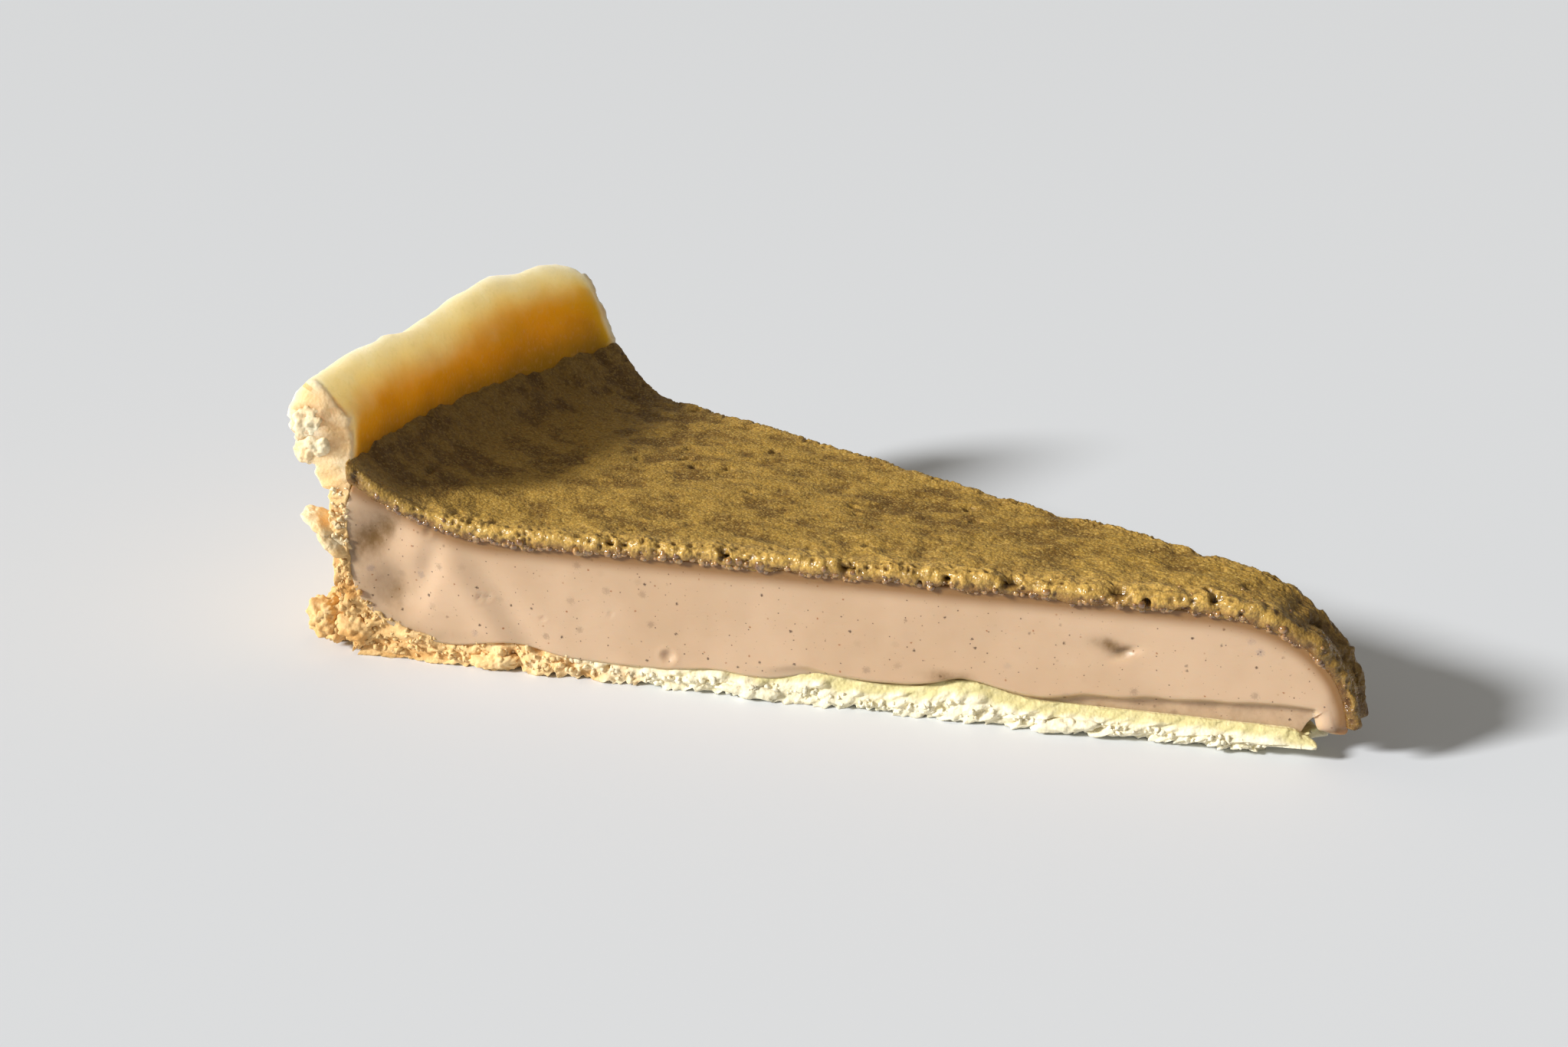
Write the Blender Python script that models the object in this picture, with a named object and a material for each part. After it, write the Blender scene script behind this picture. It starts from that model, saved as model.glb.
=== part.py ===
"""A slice of baked custard tart: a thin pastry case with a flared rim, a smooth custard filling
and a browned, frothy skin on top that slumps over the tip.

Metres, +Z up. The underside is flat on Z = 0, the rim lies towards -X and the tip towards +X.
The cut face at -Y is the one that shows; the other is at +Y. The origin is the middle of the
slice's footprint. Profiles are given as radius from the tart's centre and height.
"""

import math

import bmesh
import bpy
from mathutils import Euler, Vector, noise

# The whole tart that the slice was cut from, and the cut.
SLICE_ANGLE = math.radians(27.9)
CUT_OFFSET = 0.0007           # how far each knife cut missed the tart's centre
TART_CENTRE_X = 0.0620        # where the tart's centre lies in the slice's frame
TOUCH_GAP = 0.0003            # clearance between two solids that touch

# The pastry case.
BASE_THICKNESS = 0.0030
CRUST_TIP_RADIUS = 0.0068     # the pastry stops this short of the tart's centre
CRUST_UNDERCUT = 0.0052       # the lower pastry layer broke off this much further back
CURVE_START = 0.1035          # where the base's upper side begins to curve up into the wall
CURVE_TOP = 0.0130            # height where the curve has become the wall
CURVE_POWER = 2.4             # 2 is an ellipse, more is squarer
HEEL_START = 0.1185           # where the base's flat underside ends
HEEL_TOP = 0.0080             # height where the outside has become the wall
BASE_SHARE = 0.58             # share of the case's outline that is base, then base and curve
CURVE_SHARE = 0.76

# The rest of the wall, from the curve up to the rim: radius, height.
WALL_INSIDE = [
    (0.1183, 0.0130), (0.1184, 0.0175), (0.1175, 0.0226), (0.1176, 0.0264),
    (0.1188, 0.0306), (0.1203, 0.0332),
]
WALL_OUTSIDE = [
    (0.1206, 0.0080), (0.1206, 0.0140), (0.1208, 0.0200), (0.1220, 0.0246),
    (0.1237, 0.0290), (0.1223, 0.0329),
]

# Waves of the rim: place across the slice (-1 at the cut that shows), height and width.
RIM_HUMPS = [(-0.50, 0.0008, 0.17), (0.42, 0.0020, 0.44)]
WAVE_START = 0.0255           # the waves grow from this height up
LIP_SWAY = 0.0005             # how far the lip leans in and out along the arc
CREST_ROUNDING = 0.0007

# Where the custard lifts or the pastry swells under the cut that shows: radius, height, width.
FLOOR_BUMPS = [
    (0.0990, 0.0013, 0.0046), (0.0738, 0.0007, 0.0040), (0.0628, 0.0009, 0.0034),
    (0.0445, 0.0016, 0.0044),
]

# The custard.
CUSTARD_HEIGHT = 0.0163
SLUMP_START = 0.0200          # inside this radius the top falls away towards the tip
SLUMP_REACH = 0.0172
SLUMP_POWER = 2.5
SLUMP_TURN = math.radians(79.3)
CLIMB_START = (0.0980, 0.1055)  # outside this radius the top climbs the wall: shown side, far
CLIMB_END = 0.1171
CLIMB_HEIGHT = (0.0063, 0.0056)
FAR_SAG = 0.0008              # the top lies lower along the far cut, except near the tip
TONGUE_RADIUS = 0.0046        # the underside of the slumped tip begins here
TONGUE_DROP = 0.0002          # it hangs this much lower than the custard's floor
TONGUE_ROUNDING = 0.0006
NOTCH = (0.0066, 0.0024, 0.0011)  # the gap behind the slumped tip: radius, height, width
TIP_SHARE = 0.26              # share of the outline's stations spent on the slumped tip
WALL_FOOT_SHARE = 0.72        # where on the case's outline the custard's outer side begins

# Hollows and ridges of the cut face that shows: radius, height, width along, width up, depth.
FACE_HOLLOWS = [
    (0.1135, 0.0168, 0.0032, 0.0030, 0.0016), (0.1128, 0.0095, 0.0030, 0.0034, 0.0013),
    (0.0985, 0.0105, 0.0030, 0.0060, 0.0005), (0.1050, 0.0110, 0.0034, 0.0060, -0.0007),
]
LEDGE_DEPTH = 0.0022          # how far the custard's foot stands back on the pastry
LEDGE_TOP = 0.0058
LEDGE_END = 0.0620            # the custard is flush with the pastry outside this radius

# The froth.
FROTH_THICKNESS = 0.0020
FROTH_TIP_THICKNESS = 0.0013
FROTH_WALL_THICKNESS = 0.0014
FROTH_OVERHANG = 0.0005       # how far the froth's lip stands proud of the cut custard
FROTH_RELIEF = 0.00040

# Crumbs and flakes that stand out of the pastry: radius, place across, height, the three half
# sizes (outwards, along the rim, up) and the tilt in degrees.
CRUMBS = [
    (0.1216, -0.83, 0.0030, (0.0036, 0.0048, 0.0030), 0),
    (0.1232, -0.91, 0.0036, (0.0024, 0.0026, 0.0026), 25),
    (0.1226, -0.74, 0.0020, (0.0028, 0.0026, 0.0020), 10),
    (0.1212, -0.95, 0.0158, (0.0036, 0.0024, 0.0011), 32),
    (0.1204, -0.99, 0.0143, (0.0021, 0.0016, 0.0012), 40),
    (0.1219, -0.970, 0.0262, (0.0026, 0.0020, 0.0018), -25),
    (0.1224, -0.965, 0.0292, (0.0022, 0.0022, 0.0023), 30),
    (0.1185, -0.985, 0.0034, (0.0024, 0.0014, 0.0018), 25),
    (0.1010, -0.99, 0.0012, (0.0034, 0.0012, 0.0009), -6),
    (0.0700, -0.99, 0.0011, (0.0040, 0.0012, 0.0009), 5),
    (0.0330, -0.985, 0.0012, (0.0040, 0.0012, 0.0009), -5),
    (0.1222, 0.97, 0.0278, (0.0024, 0.0018, 0.0020), 25),
]
CRUMB_ROUGHNESS = 0.28
CRAG_DEPTH = 0.0007            # how uneven the broken pastry's cut faces are
TIP_LIFT = 0.0005             # the base's cut edges lift off the floor towards the tip

# Loop cuts of each block: along the radius, across the slice and through its thickness.
PASTRY_CUTS = (104, 8, 4)
CUSTARD_CUTS = (42, 8, 5)
FROTH_CUTS = (56, 8, 1)


def mix(a, b, share):
    return a + (b - a) * share


def ease(x, start, end):
    """0 at start, 1 at end, smooth in between. Start may be the larger of the two."""
    x = min(1.0, max(0.0, (x - start) / (end - start)))
    return x * x * (3 - 2 * x)


def hump(x, centre, width):
    return math.exp(-(((x - centre) / width) ** 2))


def through(points, share):
    """The point at a share of the way along a smooth (Catmull-Rom) line through points."""
    place = min(max(share, 0.0), 1.0) * (len(points) - 1)
    i = min(int(place), len(points) - 2)
    t = place - i
    before, after = points[max(i - 1, 0)], points[min(i + 2, len(points) - 1)]
    return tuple(
        0.5 * (2 * p1 + (p2 - p0) * t + (2 * p0 - 5 * p1 + 4 * p2 - p3) * t * t
               + (3 * p1 - p0 - 3 * p2 + p3) * t ** 3)
        for p0, p1, p2, p3 in zip(before, points[i], points[i + 1], after)
    )


def beside(line, share, distance):
    """A point of a profile, moved by distance to the left of the way it runs."""
    step = 0.002
    r0, z0 = line(max(share - step, 0.0))
    r1, z1 = line(min(share + step, 1.0))
    r, z = line(share)
    length = math.hypot(r1 - r0, z1 - z0)
    return r - (z1 - z0) / length * distance, z + (r1 - r0) / length * distance


def half_width(radius):
    """Half the slice's width at a distance from the tart's centre."""
    return radius * math.sin(SLICE_ANGLE / 2) + CUT_OFFSET


def on_arc(radius, across, height, proud=0.0):
    """The point at a radius, across the slice from -1 to 1, its cut face moved out by proud."""
    y = across * (half_width(radius) + proud)
    return Vector((TART_CENTRE_X - math.sqrt(max(radius * radius - y * y, 1e-8)), y, height))


def shown_edge(across):
    """1 at the cut face that shows, falling to 0 a third of the way across."""
    return ease(across, -0.35, -1.0)


def floor_bump(radius, across):
    return shown_edge(across) * sum(h * hump(radius, at, w) for at, h, w in FLOOR_BUMPS)


def far_side(across):
    """0 at the cut face that shows, 1 at the far one."""
    return ease(across, -0.7, 1.0)


def rough(point, size, seed=0.0):
    """Smooth noise from about -1 to 1, with features of the given size."""
    return noise.noise(point / size + Vector((seed, seed * 1.7, -seed)))


def case_inside(share):
    """The pastry's upper and inner outline, from the tip of the base to the rim."""
    if share < BASE_SHARE:
        return mix(CRUST_TIP_RADIUS, CURVE_START, share / BASE_SHARE), BASE_THICKNESS
    if share < CURVE_SHARE:
        turn = math.radians(90) * (share - BASE_SHARE) / (CURVE_SHARE - BASE_SHARE)
        reach, climb = WALL_INSIDE[0][0] - CURVE_START, CURVE_TOP - BASE_THICKNESS
        return (
            CURVE_START + reach * math.sin(turn) ** (2 / CURVE_POWER),
            CURVE_TOP - climb * max(math.cos(turn), 0.0) ** (2 / CURVE_POWER),
        )
    return through(WALL_INSIDE, (share - CURVE_SHARE) / (1 - CURVE_SHARE))


def case_outside(share):
    """The pastry's lower and outer outline, from the tip of the base to the rim."""
    if share < BASE_SHARE:
        return mix(CRUST_TIP_RADIUS + CRUST_UNDERCUT, CURVE_START, share / BASE_SHARE), 0.0
    if share < CURVE_SHARE:
        way = (share - BASE_SHARE) / (CURVE_SHARE - BASE_SHARE)
        turn = math.radians(90) * ease(way, 0.45, 1.0)
        flat = mix(CURVE_START, HEEL_START, min(way / 0.45, 1.0))
        return (
            flat + (WALL_OUTSIDE[0][0] - HEEL_START) * math.sin(turn),
            HEEL_TOP * (1 - math.cos(turn)),
        )
    return through(WALL_OUTSIDE, (share - CURVE_SHARE) / (1 - CURVE_SHARE))


def custard_top(share, across):
    """The custard's upper outline, from the foot of the slumped tip to the wall."""
    if share < TIP_SHARE:
        turn = SLUMP_TURN * (1 - share / TIP_SHARE)
        return (
            SLUMP_START - SLUMP_REACH * math.sin(turn) ** (2 / SLUMP_POWER),
            CUSTARD_HEIGHT * math.cos(turn) ** (2 / SLUMP_POWER),
        )
    radius = mix(SLUMP_START, CLIMB_END, (share - TIP_SHARE) / (1 - TIP_SHARE))
    far = far_side(across)
    start = mix(*CLIMB_START, far)
    climb = max(0.0, (radius - start) / (CLIMB_END - start))
    height = CUSTARD_HEIGHT - FAR_SAG * far * ease(radius, 0.030, 0.050)
    return radius, height + mix(*CLIMB_HEIGHT, far) * climb ** 2


def custard_floor(share):
    """The custard's lower outline, resting on the pastry as far as the foot of the wall."""
    if share < TIP_SHARE:
        radius = mix(TONGUE_RADIUS, SLUMP_START, (share / TIP_SHARE) ** 1.4)
        at, height, width = NOTCH
        drop = TONGUE_DROP * ease(radius, at, TONGUE_RADIUS)
        return radius, BASE_THICKNESS + TOUCH_GAP - drop + height * hump(radius, at, width)
    start = (SLUMP_START - CRUST_TIP_RADIUS) / (CURVE_START - CRUST_TIP_RADIUS) * BASE_SHARE
    along = mix(start, WALL_FOOT_SHARE, (share - TIP_SHARE) / (1 - TIP_SHARE))
    return beside(case_inside, along, TOUCH_GAP)


def custard_side(share, across):
    """The custard's outer side, against the pastry wall."""
    middle = [beside(case_inside, s, TOUCH_GAP) for s in (0.745, 0.775, 0.815)]
    return through([custard_floor(1.0), *middle, custard_top(1.0, across)], share)


def custard_section(share, across, up):
    """A point inside the custard's outline, blended from its four sides."""
    floor, top = custard_floor(share), custard_top(share, across)
    near, far = custard_floor(0.0), custard_top(0.0, across)
    bulge = TONGUE_ROUNDING * math.sin(math.pi * up)
    tip = (mix(near[0], far[0], up) - bulge, mix(near[1], far[1], up) - bulge)
    side, foot, head = custard_side(up, across), custard_floor(1.0), custard_top(1.0, across)
    return tuple(
        mix(floor[i], top[i], up) + mix(tip[i], side[i], share)
        - mix(mix(near[i], foot[i], share), mix(far[i], head[i], share), up)
        for i in range(2)
    )


def face_hollow(radius, height):
    """How far the cut face that shows stands back at a place on it."""
    dip = sum(d * hump(radius, r, w) * hump(height, z, h) for r, z, w, h, d in FACE_HOLLOWS)
    ledge = LEDGE_DEPTH * ease(height, LEDGE_TOP, LEDGE_TOP - 0.0018)
    return dip + ledge * ease(radius, LEDGE_END, LEDGE_END - 0.020)


def shape_pastry(share, across, up):
    share = share ** 0.94
    inside, outside = case_inside(share), case_outside(share)
    radius, height = mix(outside[0], inside[0], up), mix(outside[1], inside[1], up)
    if share < BASE_SHARE:
        height += up * floor_bump(radius, across)
    wall = ease(height, WAVE_START, RIM_HEIGHT_TOP)
    crest = sum(h * hump(across, at, w) for at, h, w in RIM_HUMPS)
    height += wall * crest
    radius += wall * LIP_SWAY * math.sin(7.0 * across + 0.8)
    if share > 0.999:
        height += CREST_ROUNDING * math.sin(math.pi * up)
    point = on_arc(radius, across, height)
    skin = ease(radius, WALL_OUTSIDE[0][0] - 0.002, WALL_OUTSIDE[0][0]) * (1 - up)
    point.x += 0.0004 * skin * rough(point, 0.006, 3.1)
    if abs(across) > 0.999:
        point.y += CRAG_DEPTH * (rough(point, 0.0026, 7.3) + 0.6 * rough(point, 0.0013, 1.9))
        if share < BASE_SHARE:
            lift = 0.0006 * max(0.0, rough(on_arc(radius, across, 0.0), 0.004, 5.5))
            point.z += (lift + TIP_LIFT * ease(share, 0.25, 0.0)) * (1 - up)
    if share < 0.001:
        point.x += 0.0012 * rough(point, 0.0016, 2.2)
    return point


def shape_custard(share, across, up):
    radius, height = custard_section(share, across, up)
    height += (1 - up) * floor_bump(radius, across)
    back = face_hollow(radius, height) if across < 0 else 0.0
    proud = -back * shown_edge(across)
    point = on_arc(radius, across, height, proud)
    if abs(across) > 0.999:
        point.y += 0.00015 * rough(point, 0.009, 4.0)
    return point


def froth_thickness(share):
    thickness = mix(FROTH_TIP_THICKNESS, FROTH_THICKNESS, ease(share, 0.02, TIP_SHARE))
    return mix(thickness, FROTH_WALL_THICKNESS, ease(share, 0.85, 1.0))


def shape_froth(share, across, up):
    def top(at):
        return custard_top(at, across)

    near_wall = ease(share, 0.90, 1.0)
    inner = beside(top, share, TOUCH_GAP)
    outer = beside(top, share, TOUCH_GAP + froth_thickness(share))
    radius = mix(mix(inner[0], outer[0], up), top(share)[0], near_wall)
    height = mix(inner[1], outer[1], up)
    edge = ease(abs(across), 0.8, 1.0) * FROTH_OVERHANG * math.sin(math.pi * (0.25 + 0.5 * up))
    point = on_arc(radius, across, height, edge)
    if up > 0.999:
        tip = 1 + 1.2 * ease(share, TIP_SHARE, 0.05)
        point.z += FROTH_RELIEF * tip * rough(point, 0.0042, 9.2) * (1 - near_wall)
        point.z += 0.5 * FROTH_RELIEF * rough(point, 0.0019, 0.7) * (1 - near_wall)
    if abs(across) > 0.999:
        point.y += 0.0003 * rough(point, 0.0018, 6.1)
    return point


RIM_HEIGHT_TOP = WALL_INSIDE[-1][1]


def material(name, colour, roughness):
    made = bpy.data.materials.new(name)
    made.use_nodes = True
    shader = made.node_tree.nodes["Principled BSDF"]
    shader.inputs["Base Color"].default_value = (*colour, 1.0)
    shader.inputs["Roughness"].default_value = roughness
    shader.inputs["Metallic"].default_value = 0.0
    made.diffuse_color = (*colour, 1.0)
    return made


def block(name, cuts, shape, finish):
    """A cube with even loop cuts, each corner of its grid then placed by shape(along, across, up)."""
    bm = bmesh.new()
    bmesh.ops.create_cube(bm, size=1.0)
    for axis, count in enumerate(cuts):
        edges = [e for e in bm.edges if abs((e.verts[0].co - e.verts[1].co)[axis]) > 0.5]
        bmesh.ops.subdivide_edges(bm, edges=edges, cuts=count, use_grid_fill=True)
    for v in bm.verts:
        along, across, up = v.co.x + 0.5, 2 * v.co.y, v.co.z + 0.5
        v.co = shape(along, across, up)
    bmesh.ops.recalc_face_normals(bm, faces=bm.faces)
    mesh = bpy.data.meshes.new(name)
    bm.to_mesh(mesh)
    bm.free()
    mesh.materials.append(finish)
    made = bpy.data.objects.new(name, mesh)
    bpy.context.scene.collection.objects.link(made)
    return made


def crumb(index, radius, across, height, sizes, tilt):
    """A lump of broken pastry: a coarse ball, squashed, roughened and turned to face outwards."""
    bm = bmesh.new()
    bmesh.ops.create_icosphere(bm, subdivisions=2, radius=1.0)
    for v in bm.verts:
        v.co *= 1 + CRUMB_ROUGHNESS * rough(v.co, 0.9, index * 2.3)
        v.co = Vector(a * b for a, b in zip(v.co, sizes))
    place = on_arc(radius, across, height)
    outwards = math.atan2(place.y, place.x - TART_CENTRE_X)
    turn = Euler((0.0, math.radians(-tilt), outwards)).to_matrix()
    for v in bm.verts:
        v.co = turn @ v.co + place
        v.co.z = max(v.co.z, 0.0001)
    mesh = bpy.data.meshes.new(f"crumb_{index}")
    bm.to_mesh(mesh)
    bm.free()
    return bpy.data.objects.new(f"crumb_{index}", mesh)


def fuse_crumbs(pastry):
    """Joins the crumbs and flakes to the pastry, so that the case stays one solid."""
    crumbs = bpy.data.collections.new("crumbs")
    bpy.context.scene.collection.children.link(crumbs)
    for index, values in enumerate(CRUMBS):
        crumbs.objects.link(crumb(index, *values))
    union = pastry.modifiers.new("Fuse crumbs", "BOOLEAN")
    union.operation = "UNION"
    union.operand_type = "COLLECTION"
    union.collection = crumbs
    union.solver = "EXACT"
    bpy.context.view_layer.objects.active = pastry
    bpy.ops.object.modifier_apply(modifier=union.name)
    for piece in list(crumbs.objects):
        bpy.data.objects.remove(piece)
    bpy.data.collections.remove(crumbs)


def build():
    for old in list(bpy.data.objects):
        bpy.data.objects.remove(old)
    pastry_finish = material("pastry", (0.86, 0.62, 0.33), 0.7)
    custard_finish = material("custard", (0.66, 0.45, 0.28), 0.35)
    froth_finish = material("browned_froth", (0.30, 0.18, 0.05), 0.5)
    pastry = block("pastry_case", PASTRY_CUTS, shape_pastry, pastry_finish)
    block("custard_filling", CUSTARD_CUTS, shape_custard, custard_finish)
    block("browned_froth_top", FROTH_CUTS, shape_froth, froth_finish)
    fuse_crumbs(pastry)
    for piece in bpy.data.objects:
        piece.data.shade_smooth()
        piece.data.set_sharp_from_angle(angle=math.radians(45))


build()
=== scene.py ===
"""A slice of baked custard tart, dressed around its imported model.

Metres, +Z up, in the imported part's frame: the rim lies towards -X, the tip towards +X, and the
cut face that the photograph shows is at -Y. A place on the slice is given by its radius from the
centre of the whole tart, its place across the slice (-1 at the cut that shows, 1 at the other)
and its height.
"""

import bpy
import numpy as np
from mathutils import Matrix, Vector


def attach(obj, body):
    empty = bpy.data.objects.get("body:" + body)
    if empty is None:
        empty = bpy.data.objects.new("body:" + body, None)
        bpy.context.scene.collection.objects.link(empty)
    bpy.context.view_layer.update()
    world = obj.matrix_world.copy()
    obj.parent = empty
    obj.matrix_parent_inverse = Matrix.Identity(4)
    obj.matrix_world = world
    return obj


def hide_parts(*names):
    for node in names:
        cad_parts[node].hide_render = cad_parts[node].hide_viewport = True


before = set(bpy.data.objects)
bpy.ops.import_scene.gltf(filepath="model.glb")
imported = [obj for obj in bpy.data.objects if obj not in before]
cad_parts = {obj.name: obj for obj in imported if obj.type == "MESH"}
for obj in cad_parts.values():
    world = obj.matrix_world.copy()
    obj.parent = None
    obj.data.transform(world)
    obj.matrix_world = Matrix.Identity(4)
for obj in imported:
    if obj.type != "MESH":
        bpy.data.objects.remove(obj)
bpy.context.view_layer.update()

# The pastry case. Shortcrust pressed into a deep tin and blind baked, about 3 mm thick, then cut
# through with a knife: the outside is smooth from the tin, the cut faces are broken and crumbly,
# and the flared rim was pinched by hand. It is one piece from the tip of the base to the rim.

SLICE_ANGLE = np.radians(27.9)
CUT_OFFSET = 0.0007             # how far each cut missed the tart's centre
CENTRE_X = 0.0620               # where the tart's centre lies
BASE_THICKNESS = 0.0034
TIP_RADIUS = 0.0068             # the base's upper layer starts here, its lower one further back
LOWER_TIP_RADIUS = 0.0122
CURVE_START, CURVE_TOP, CURVE_POWER = 0.1035, 0.0130, 2.4
HEEL_START, HEEL_TOP, HEEL_FLAT = 0.1185, 0.0080, 0.45
BASE_SHARE, CURVE_SHARE = 0.58, 0.76  # shares of the outline that end the base and the curve
WALL_INSIDE = [
    (0.1183, 0.0130), (0.1184, 0.0175), (0.1175, 0.0226), (0.1174, 0.0262),
    (0.1178, 0.0294), (0.1192, 0.0320),
]
WALL_OUTSIDE = [
    (0.1206, 0.0080), (0.1206, 0.0140), (0.1208, 0.0200), (0.1222, 0.0246),
    (0.1239, 0.0288), (0.1233, 0.0322),
]
WAVE_START = 0.0255
# Humps and bumps: each is a place, a height and a width.
RIM_HUMPS = [(-0.50, 0.0008, 0.17), (0.42, 0.0020, 0.44)]
CREST_DOME = 0.0021
FLOOR_BUMPS = [
    (0.0990, 0.0013, 0.0046), (0.0738, 0.0007, 0.0040), (0.0628, 0.0009, 0.0034),
    (0.0445, 0.0016, 0.0044),
]
# Holes and bubbles: each is a radius, a height and a size.
HOLES = [
    (0.0953, 0.0030, 0.00055), (0.0912, 0.0016, 0.0004), (0.0985, 0.0021, 0.0005),
    (0.0868, 0.0019, 0.0003),
]
# Noises: each is an amount, the size of its waves and a seed.
CHIPS = [(0.5, 0.0043, 11), (0.55, 0.0017, 12), (0.55, 0.0008, 14)]
DENTS = [(1.0, 0.0026, 13), (0.5, 0.0010, 15)]
BROKEN = [(0.6, 0.0034, 23), (0.45, 0.0015, 24), (0.50, 0.0007, 25)]
BAND_EDGE = [(0.22, 0.0031, 16), (0.12, 0.0012, 17)]
WALL_SKIN = [(0.00022, 0.0055, 31), (0.00010, 0.0016, 32)]
CREST_PILLOWS = [(0.00075, 0.0066, 33), (0.00034, 0.0030, 34), (0.00010, 0.0011, 38)]
CREST_RISES = [(0.0005, 0.0058, 35), (0.00022, 0.0022, 39)]
TORN_TIP = [(0.0012, 0.0021, 36), (0.0009, 0.0010, 37)]
CRUST_WANDER = [(0.0050, 0.0120, 44), (0.0016, 0.0040, 45)]
CASE_CELLS = (560, 16, 56)      # along the outline, from its outside to its inside, and across
CUT_REACH = 0.0010              # the broken texture fades this deep behind a cut
CLOD_SIZE, FLAKE_SIZE = 0.00095, 0.0013
# The amber colour is the inner wall's baked amber and also a painted glow, where light shines through
# the thin rim from behind.
CREAM, GOLDEN, AMBER_AND_GLOW = (0.91, 0.84, 0.62), (0.88, 0.595, 0.28), (0.70, 0.37, 0.004)
# The soaked and toasted colours are also the tint of the painted shade in the broken faces' crevices.
SOAKED_AND_SHADE, TOASTED_AND_SHADE, LOW_WALL_DARK = (0.66, 0.59, 0.27), (0.60, 0.29, 0.065), (0.28, 0.145, 0.004)
HEEL_BROWN, CREST_GLOW, FLECK = (0.62, 0.385, 0.150), (0.98, 0.63, 0.34), (0.66, 0.46, 0.20)


def ease(x, start, end):
    """0 at start, 1 at end, with level ends: three times the share squared less twice its cube."""
    x = np.clip((x - start) / (end - start), 0.0, 1.0)
    return x * x * (3 - 2 * x)


def hump(x, centre, width):
    """A bell: e to the minus squared distance from the centre, in widths."""
    return np.exp(-(((x - centre) / width) ** 2))


def humps(x, rows):
    """The sum of several bells, each row a centre, a height and a width."""
    return sum(height * hump(x, centre, width) for centre, height, width in rows)


def stacked(*columns):
    """Columns of numbers, spread to one shape, as points."""
    return np.stack(np.broadcast_arrays(*columns), -1)


def through(points, share):
    """The smooth line through points, each stretch a cubic that leaves and arrives in the
    direction of the line between its neighbours."""
    points = np.array(points)
    place = np.clip(share, 0.0, 1.0) * (len(points) - 1)
    i = np.minimum(place.astype(int), len(points) - 2)
    t = (place - i)[..., None]
    p0, p1 = points[np.maximum(i - 1, 0)], points[i]
    p2, p3 = points[i + 1], points[np.minimum(i + 2, len(points) - 1)]
    return 0.5 * (
        2 * p1 + (p2 - p0) * t + (2 * p0 - 5 * p1 + 4 * p2 - p3) * t**2
        + (3 * p1 - p0 - 3 * p2 + p3) * t**3
    )


def beside(line, share, distance):
    """A profile moved by distance to the left of the way it runs, square to its direction."""
    way = line(np.clip(share + 0.002, 0, 1)) - line(np.clip(share - 0.002, 0, 1))
    way /= np.linalg.norm(way, axis=-1, keepdims=True)
    return line(share) + distance * stacked(-way[..., 1], way[..., 0])


def lengths(line, shares):
    """How far along a profile each of a row of shares lies: the steps between them, added up."""
    steps = np.linalg.norm(np.diff(line(shares), axis=0), axis=1)
    return np.concatenate([[0.0], np.cumsum(steps)])


def evenly(line, count, first=0.0):
    """Shares along a profile that cut it into count stretches of equal length."""
    fine = np.linspace(first, 1.0, 4000)
    length = lengths(line, fine)
    return np.interp(np.linspace(0, length[-1], count + 1), length, fine)


def half_width(radius):
    """Half the slice's width: the radius times the sine of half the cut's angle, plus the offset."""
    return radius * np.sin(SLICE_ANGLE / 2) + CUT_OFFSET


def from_cut(radius, across):
    """How far inside the nearer cut face a place lies."""
    return (1 - np.abs(across)) * half_width(radius)


def on_arc(radius, across, height, proud=0.0):
    """The point on the circle of a radius round the tart's centre, at a share of the half width
    across, its cut face moved out by proud."""
    y = across * (half_width(radius) + proud)
    return stacked(CENTRE_X - np.sqrt(np.maximum(radius * radius - y * y, 1e-8)), y, height)


def floor_bump(radius, across):
    """How far the custard's floor rises where pastry swelled or custard lifted, by the near cut."""
    return ease(across, -0.35, -1.0) * humps(radius, FLOOR_BUMPS)


def chance(cell, seed):
    """A fixed number from 0 to 1 for each cell of a lattice: its three counts are multiplied by
    primes, added, and their bits stirred by shifts and products."""
    cell = cell.astype(np.int64)
    n = cell[..., 0] * 374761393 + cell[..., 1] * 668265263 + cell[..., 2] * 1274126177
    n = (n + seed * 1442695041) & 0x7FFFFFFF
    for factor in (1274126177, 2246822519 & 0x7FFFFFFF):
        n = ((n ^ (n >> 15)) * factor) & 0x7FFFFFFF
    n = n ^ (n >> 13)
    return (n & 0xFFFFFF) / 0x1000000


def ripples(points, size, seed):
    """Smooth relief from about -1 to 1: each lattice corner has a random slope, and the eight
    slopes round a point are blended with weights that ease from corner to corner."""
    q = points / size
    base = np.floor(q)
    f = q - base
    smooth = f**3 * (f * (f * 6 - 15) + 10)
    total = np.zeros(q.shape[:-1])
    for corner in np.ndindex(2, 2, 2):
        corner = np.array(corner)
        slope = np.stack([chance(base + corner, seed + 101 * i) for i in range(3)], -1) * 2 - 1
        weight = np.prod(np.where(corner, smooth, 1 - smooth), -1)
        total += weight * np.sum(slope * (f - corner), -1)
    return total * 1.5


def noise(points, rows):
    """The sum of several ripples, each row an amount, a size and a seed."""
    return sum(amount * ripples(points, size, seed) for amount, size, seed in rows)


def grains(points, size, seed):
    """One random spot in each lattice cell: how far the nearest and the second nearest spot lie,
    in cells, and the nearest spot's own number from 0 to 1."""
    q = points / size
    base = np.floor(q)
    near, second = np.full(q.shape[:-1], 9.0), np.full(q.shape[:-1], 9.0)
    own = np.zeros(q.shape[:-1])
    for step in np.ndindex(3, 3, 3):
        cell = base + np.array(step) - 1
        spot = cell + np.stack([chance(cell, seed + 37 * i) for i in range(3)], -1)
        away = np.linalg.norm(spot - q, axis=-1)
        closer = away < near
        second = np.where(closer, near, np.minimum(second, away))
        own = np.where(closer, chance(cell, seed + 911), own)
        near = np.where(closer, away, near)
    return near, second, own


def grid_quads(number):
    """The four-sided faces of a grid of point numbers."""
    return np.stack(
        [number[:-1, :-1], number[1:, :-1], number[1:, 1:], number[:-1, 1:]], -1).reshape(-1, 4)


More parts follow.
